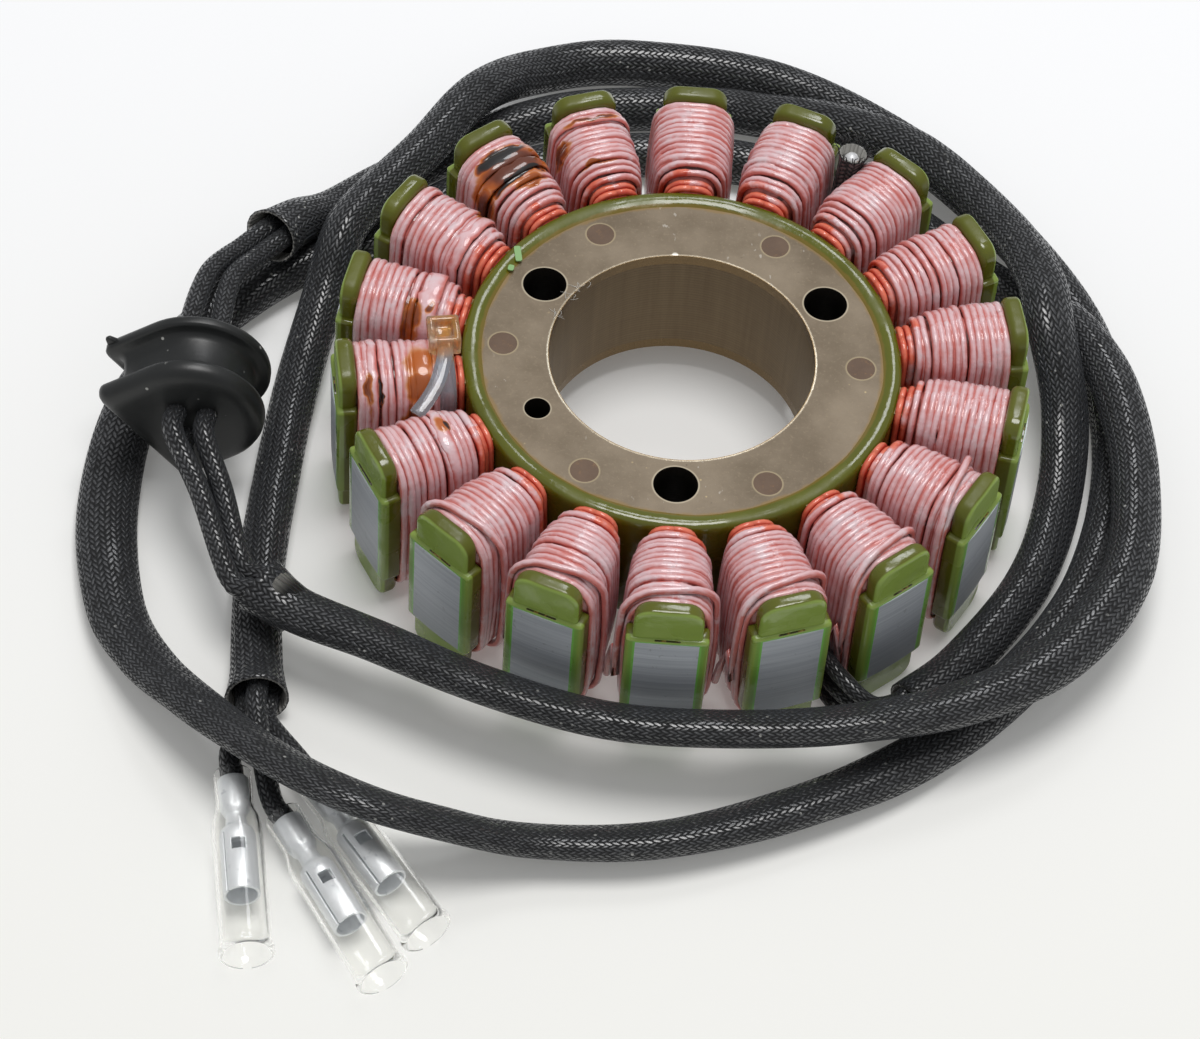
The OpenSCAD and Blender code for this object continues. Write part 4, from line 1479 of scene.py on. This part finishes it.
def arch_outline():
    """The grommet's outline, anticlockwise: flat side with small corners, straight sides, round top."""
    w, h, c = GROMMET_W, GROMMET_H, 1.6 * MM
    r = w / 2
    points = []
    for cx, cy, radius, start, end, steps in (
        (w - c, c, c, 270, 360, 5), (r, h - r, r, 0, 180, 32), (c, c, c, 180, 270, 5),
    ):
        for i in range(steps + 1):
            a = math.radians(start + (end - start) * i / steps)
            points.append(Vector((cx + radius * math.cos(a), cy + radius * math.sin(a), 0)))
    return points


def add_grommet(material):
    plug = add_ring("grommet_moulding", arch_outline())
    bpy.ops.mesh.select_all(action="SELECT")
    depth_was, inset_was = 0, 0
    for i, (depth, inset) in enumerate(GROMMET_STEPS):
        if i:
            extrude((0, 0, (depth - depth_was) * MM))
        sizes = [(s / 2 - inset * MM) / (s / 2 - inset_was * MM) for s in (GROMMET_W, GROMMET_H)]
        bpy.ops.transform.resize(
            value=(*sizes, 1), center_override=(GROMMET_W / 2, GROMMET_H / 2, depth * MM)
        )
        depth_was, inset_was = depth, inset
    close_up(plug, 50)
    corner = (GROMMET_W + 0.2 * MM, 1.9 * MM, GROMMET_T - 0.7 * MM)
    spur = add_cube("flash_spur", (1.8 * MM, 2.2 * MM, 1.1 * MM), corner)
    pick("FACE", lambda f: f.normal.x > 0.9)
    bpy.ops.transform.resize(value=(1, 0.35, 0.6))
    round_edges(0.2 * MM, 2, lambda e: True)
    close_up(spur, 50)
    plug = join("grommet_moulding", [plug, spur])
    plug.data.transform(grommet_frame())
    dress(plug, material, "grommet_rubber", "grommet")


# Terminals: distance in from the mouth of the clear sleeve and radius, in millimetres
TERMINAL_SIDES = 48
SOCKET = [
    (9.5, 2.6), (15.9, 2.6), (17.7, 2.6), (19.2, 2.6), (20, 2.4), (20.8, 1.6), (22.6, 1.45), (23.4, 1.9),
    (24.1, 2.2), (28.2, 2.2), (28.8, 2.1),
]
WINDOW_FROM, WINDOW_TO, SEAM_TO = (along * MM for along, _ in SOCKET[1:4])
# Clear sleeve: radius and distance in, down its outside and back up its inside
CLEAR_SLEEVE = [
    (3.15, 0.25), (3.35, 0), (3.75, 0), (3.95, 0.25), (3.95, 0.95), (3.75, 1.25), (3.7, 2), (3.7, 8),
    (3.66, 14), (3.7, 20.5), (3.5, 21.8), (3.0, 23.2), (2.8, 24.2), (2.78, 27), (2.8, 29.8), (2.7, 30),
    (2.35, 30), (2.25, 29.8), (2.25, 24.4), (2.5, 23.4), (2.95, 22), (3.12, 20.5), (3.1, 12), (3.1, 2),
]


def terminal_piece(k, material):
    """A rolled tin socket with an open seam, a window on top and a crimp on the lead."""
    was, radius = SOCKET[0]
    turns = [2 * math.pi * i / TERMINAL_SIDES for i in range(TERMINAL_SIDES)]
    outline = [Vector((radius * math.cos(a), radius * math.sin(a), was)) * MM for a in turns]
    socket = add_loop("rolled_terminal_%d" % (k + 1), outline)
    for along, r in SOCKET[1:]:
        bpy.ops.mesh.extrude_edges_move(TRANSFORM_OT_translate={"value": (0, 0, (along - was) * MM)})
        bpy.ops.transform.resize(value=(r / radius, r / radius, 1), center_override=(0, 0, along * MM))
        was, radius = along, r

    def opening(face):
        m = middle(face)
        turn = math.degrees(math.atan2(m.y, m.x))
        window = abs(abs(turn) - 180) < 23 and WINDOW_FROM < m.z < WINDOW_TO
        return window or (m.z < SEAM_TO and 131 < turn < 138)

    pick("FACE", opening)
    bpy.ops.mesh.delete(type="FACE")
    shape = bmesh.from_edit_mesh(socket.data)
    for v in shape.verts:
        valley = max(0, 1 - (abs(v.co.z - 26 * MM) / (2.4 * MM)) ** 2)
        if v.co.x < 0 and valley:
            v.co.x += 0.9 * MM * valley * max(0, 1 - abs(v.co.y) / (1.5 * MM))
    bmesh.update_edit_mesh(socket.data)
    close_up(socket, 50)
    apply_modifier(socket, "SOLIDIFY", thickness=0.42 * MM, offset=-1)
    apply_modifier(socket, "BEVEL", width=0.08 * MM, segments=2, limit_method="ANGLE")
    socket.data.transform(terminal_frame(k))
    return dress(socket, material, "terminal_tin", "terminal_%d" % (k + 1))


def clear_sleeve_piece(k, material):
    """A soft clear sleeve with a thick rim at its mouth and a neck on the lead."""
    outline = [Vector((r, 0, z)) * MM for r, z in CLEAR_SLEEVE]
    sleeve = add_turned("clear_sleeve_%d" % (k + 1), outline, TERMINAL_SIDES)
    close_up(sleeve, 60)
    sleeve.data.transform(terminal_frame(k))
    return dress(sleeve, material, "clear_pvc", "terminal_sleeve_%d" % (k + 1))


# Tie: middle of its tail in its pole's own frame, in millimetres
TIE_TAIL = [
    (35.1, -2, 15.3), (35.4, 0.4, 15.1), (36.1, 2.9, 14.7), (37.1, 5.4, 14.2), (38.7, 7.8, 13.5),
    (40.5, 9.8, 12.8),
]


def add_tie(material):
    """A nylon tie round a coil: head on top by the hub, strap round the coil, tail laid outward."""
    tubes = Tubes()
    band(tubes, winding_loop(build_at(0.2) + 0.35 * MM), TIE_X, 1.25 * MM, 0.45 * MM, 12)
    line = smooth_line([Vector(p) * MM for p in TIE_TAIL], 0.7 * MM)
    tubes.sweep(line, [Vector((0.1, 0.25, 1))] * len(line), 1.2 * MM, 0.4 * MM, 12)
    strap = tubes.piece("tie_strap", pole_frame(TIE_POLE))
    head = add_cube("tie_head", (4.8 * MM, 5.2 * MM, 3.4 * MM), (TIE_X, -3.1 * MM, 15 * MM))
    pick("FACE", lambda f: f.normal.z > 0.9)
    bpy.ops.mesh.inset(thickness=1.0 * MM)
    extrude((0, 0, -1.2 * MM), (0.8, 0.8, 1))
    round_edges(0.4 * MM, 3, lambda e: len(e.link_faces) == 2 and e.calc_face_angle(0) > 0.8)
    close_up(head, 50)
    head.data.transform(pole_frame(TIE_POLE))
    dress(join("nylon_tie", [head, strap]), material, "tie_nylon", "cable_tie")


# Star point: foot of its sleeve, the way it leans, then heights and radii in millimetres
SPLICE_FOOT = polar(60, 46, 11.2)
SPLICE_WAY = Vector((0.1, 0.06, 1))
SPLICE_SLEEVE = [(0, 1.75), (4, 1.8), (9, 1.8), (13, 1.85), (15.6, 2.0), (16.9, 2.2), (17.3, 2.35)]
SPLICE_TIP = [(0, 1.4), (12, 1.4), (15.4, 1.4), (16.2, 1.25), (16.8, 0.85), (17.0, 0.3)]
HAIR_SIZES = [0.09 * MM, 0.08 * MM, 0.05 * MM]


def splice_tube(tubes, shape, flat, sides, hollow=None):
    """A tube up the star point; returns its middle line."""
    line = [SPLICE_FOOT + SPLICE_WAY * h * MM for h, _ in shape]
    sizes = [r * MM for _, r in shape]
    ups = [Vector((1, 0, 0))] * len(line)
    tubes.sweep(line, ups, sizes, [flat * size for size in sizes], sides, hollow=hollow)
    return line


def add_splice(braid, solder):
    """The star point: a soldered bundle in a braided sleeve that has frayed at its open end."""
    tubes = Tubes()
    line = splice_tube(tubes, SPLICE_SLEEVE, 1, 28, (0.4 * MM, 5 * MM))
    dice = random.Random(5)
    for _ in range(46):
        a = dice.uniform(0, 2 * math.pi)
        side = Vector((math.cos(a), math.sin(a), 0))
        start = line[-1] + side * 2.15 * MM
        length = dice.uniform(0.7, 1.9) * MM
        lean = dice.uniform(0.1, 0.9)
        curl = Vector((-side.y, side.x, 0)) * dice.uniform(-0.6, 0.6)
        hair = [
            start - UP * 0.4 * MM,
            start + (side * lean * 0.4 + curl * 0.3 + UP * 0.55) * length,
            start + (side * lean + curl + UP * 0.8) * length,
        ]
        tubes.sweep(hair, [side] * 3, HAIR_SIZES, HAIR_SIZES, 5)
    dress(tubes.piece("splice_braid_sleeve"), braid, "splice_braid", "neutral_splice_sleeve")
    core = Tubes()
    splice_tube(core, SPLICE_TIP, 0.94, 20)
    dress(core.piece("solder_tip"), solder, "solder", "neutral_splice")


# Small marks
def add_slits(material):
    """Varnish that stands in the slot between lip and ground face, at both ends of each face."""
    bits = []
    for k in range(1, POLES + 1):
        dice = random.Random(40 + k)
        for end in (1, -1):
            size = (0.5 * MM, dice.uniform(3.6, 4.8) * MM, 0.5 * MM)
            aside = dice.uniform(-0.4, 0.4) * MM
            bit = add_cube("slit", size, (LIP_FRONT + 0.15 * MM, aside, end * (STACK_HALF + 0.3 * MM)))
            round_edges(0.2 * MM, 2, lambda e: not runs_along(e, 1))
            close_up(bit)
            bit.data.transform(pole_frame(k))
            bits.append(bit)
    dress(join("varnish_slits", bits), material, "green_epoxy")


# Dabs of paint: place, turn in degrees, and size
DABS = [((-25.5, 17.4, 26.15), 100, (3.0, 1.0, 0.22)), ((-26.37, 14.48, 26.15), 80, (1.1, 0.9, 0.22))]


def add_paint(material):
    """Two dabs of light green paint on the rim."""
    dabs = []
    for place, degrees, size in DABS:
        dab = add_cube("dab", [c * MM for c in size], (0, 0, 0))
        round_edges(0.25 * MM, 2, lambda e: runs_along(e, 2))
        close_up(dab)
        turn = Matrix.Rotation(math.radians(degrees), 4, "Z")
        dab.data.transform(Matrix.Translation(Vector(place) * MM) @ turn)
        dabs.append(dab)
    dress(join("paint_dabs", dabs), material, "green_epoxy")


# Angles and distances from the axis at which lint hangs on the edge of the bore
LINT = ((156, 20.3), (150, 19.9), (162, 20.0), (142, 19.9))


def add_lint(material):
    """Fine white hairs caught on the edge of the bore."""
    dice = random.Random(3)
    tubes = Tubes()
    for _ in range(18):
        angle, radius = dice.choice(LINT)
        start = polar(angle + dice.uniform(-5, 5), radius + dice.uniform(-0.4, 0.3), 25.66)
        turn = dice.uniform(0, 2 * math.pi)
        length = dice.uniform(0.8, 1.8) * MM
        line = [start]
        for _ in range(5):
            turn += dice.uniform(-0.7, 0.7)
            step = Vector((math.cos(turn), math.sin(turn), dice.uniform(-0.02, 0.1)))
            line.append(line[-1] + step * length / 5)
        tubes.sweep(line, [UP] * len(line), 0.022 * MM, 0.022 * MM, 4)
    dress(tubes.piece("lint"), material, "plate_steel")


def finish_nodes():
    """Finishes of the frame's own nodes that stay in sight."""
    plate = plate_finish()
    finishes = {"end_plate_top": plate, "end_plate_bottom": plate}
    finishes.update({"rivets": rivet_finish(), "lamination_stack": core_finish()})
    for name, material in finishes.items():
        set_finish(frame["nodes"][name], material)


def write_sizes():
    sizes = {"cad": [list(corner) for corner in cad_box], "visual": [list(corner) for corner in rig.bounds()]}
    with open("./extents.json", "w") as out:
        json.dump(sizes, out)


def main():
    bpy.context.scene.view_settings.view_transform = "Standard"
    add_camera()
    add_harness()
    add_leads(braid_finish("lead_braid", 15, 1.1, (2, 2, 3), (38, 40, 44)))
    wire = wire_finish()
    for k in range(1, POLES + 1):
        coil_piece(k, wire)
    add_coat()
    finish_nodes()
    add_grommet(rubber_finish())
    tin, clear = tin_finish(), clear_finish()
    for k in range(3):
        terminal_piece(k, tin)
        clear_sleeve_piece(k, clear)
    add_tie(nylon_finish())
    splice = braid_finish("splice_braid", 12, 0.95, (18, 18, 19), (84, 83, 82))
    add_splice(splice, solder_finish())
    add_slits(varnish_finish())
    add_paint(Finish("paint", Base_Color=rgb(134, 176, 112), Roughness=0.4).material)
    add_lint(Finish("lint", Base_Color=rgb(226, 226, 222), Roughness=0.8).material)
    add_world()
    add_lamp("key", (0.06, 0.16, 1.2), 0.6, 8.0, (1.0, 0.99, 0.98))
    add_lamp("back", (0.14, 0.76, 0.98), 0.3, 1.5, (0.97, 0.98, 1.0))
    add_floor()
    write_sizes()


main()
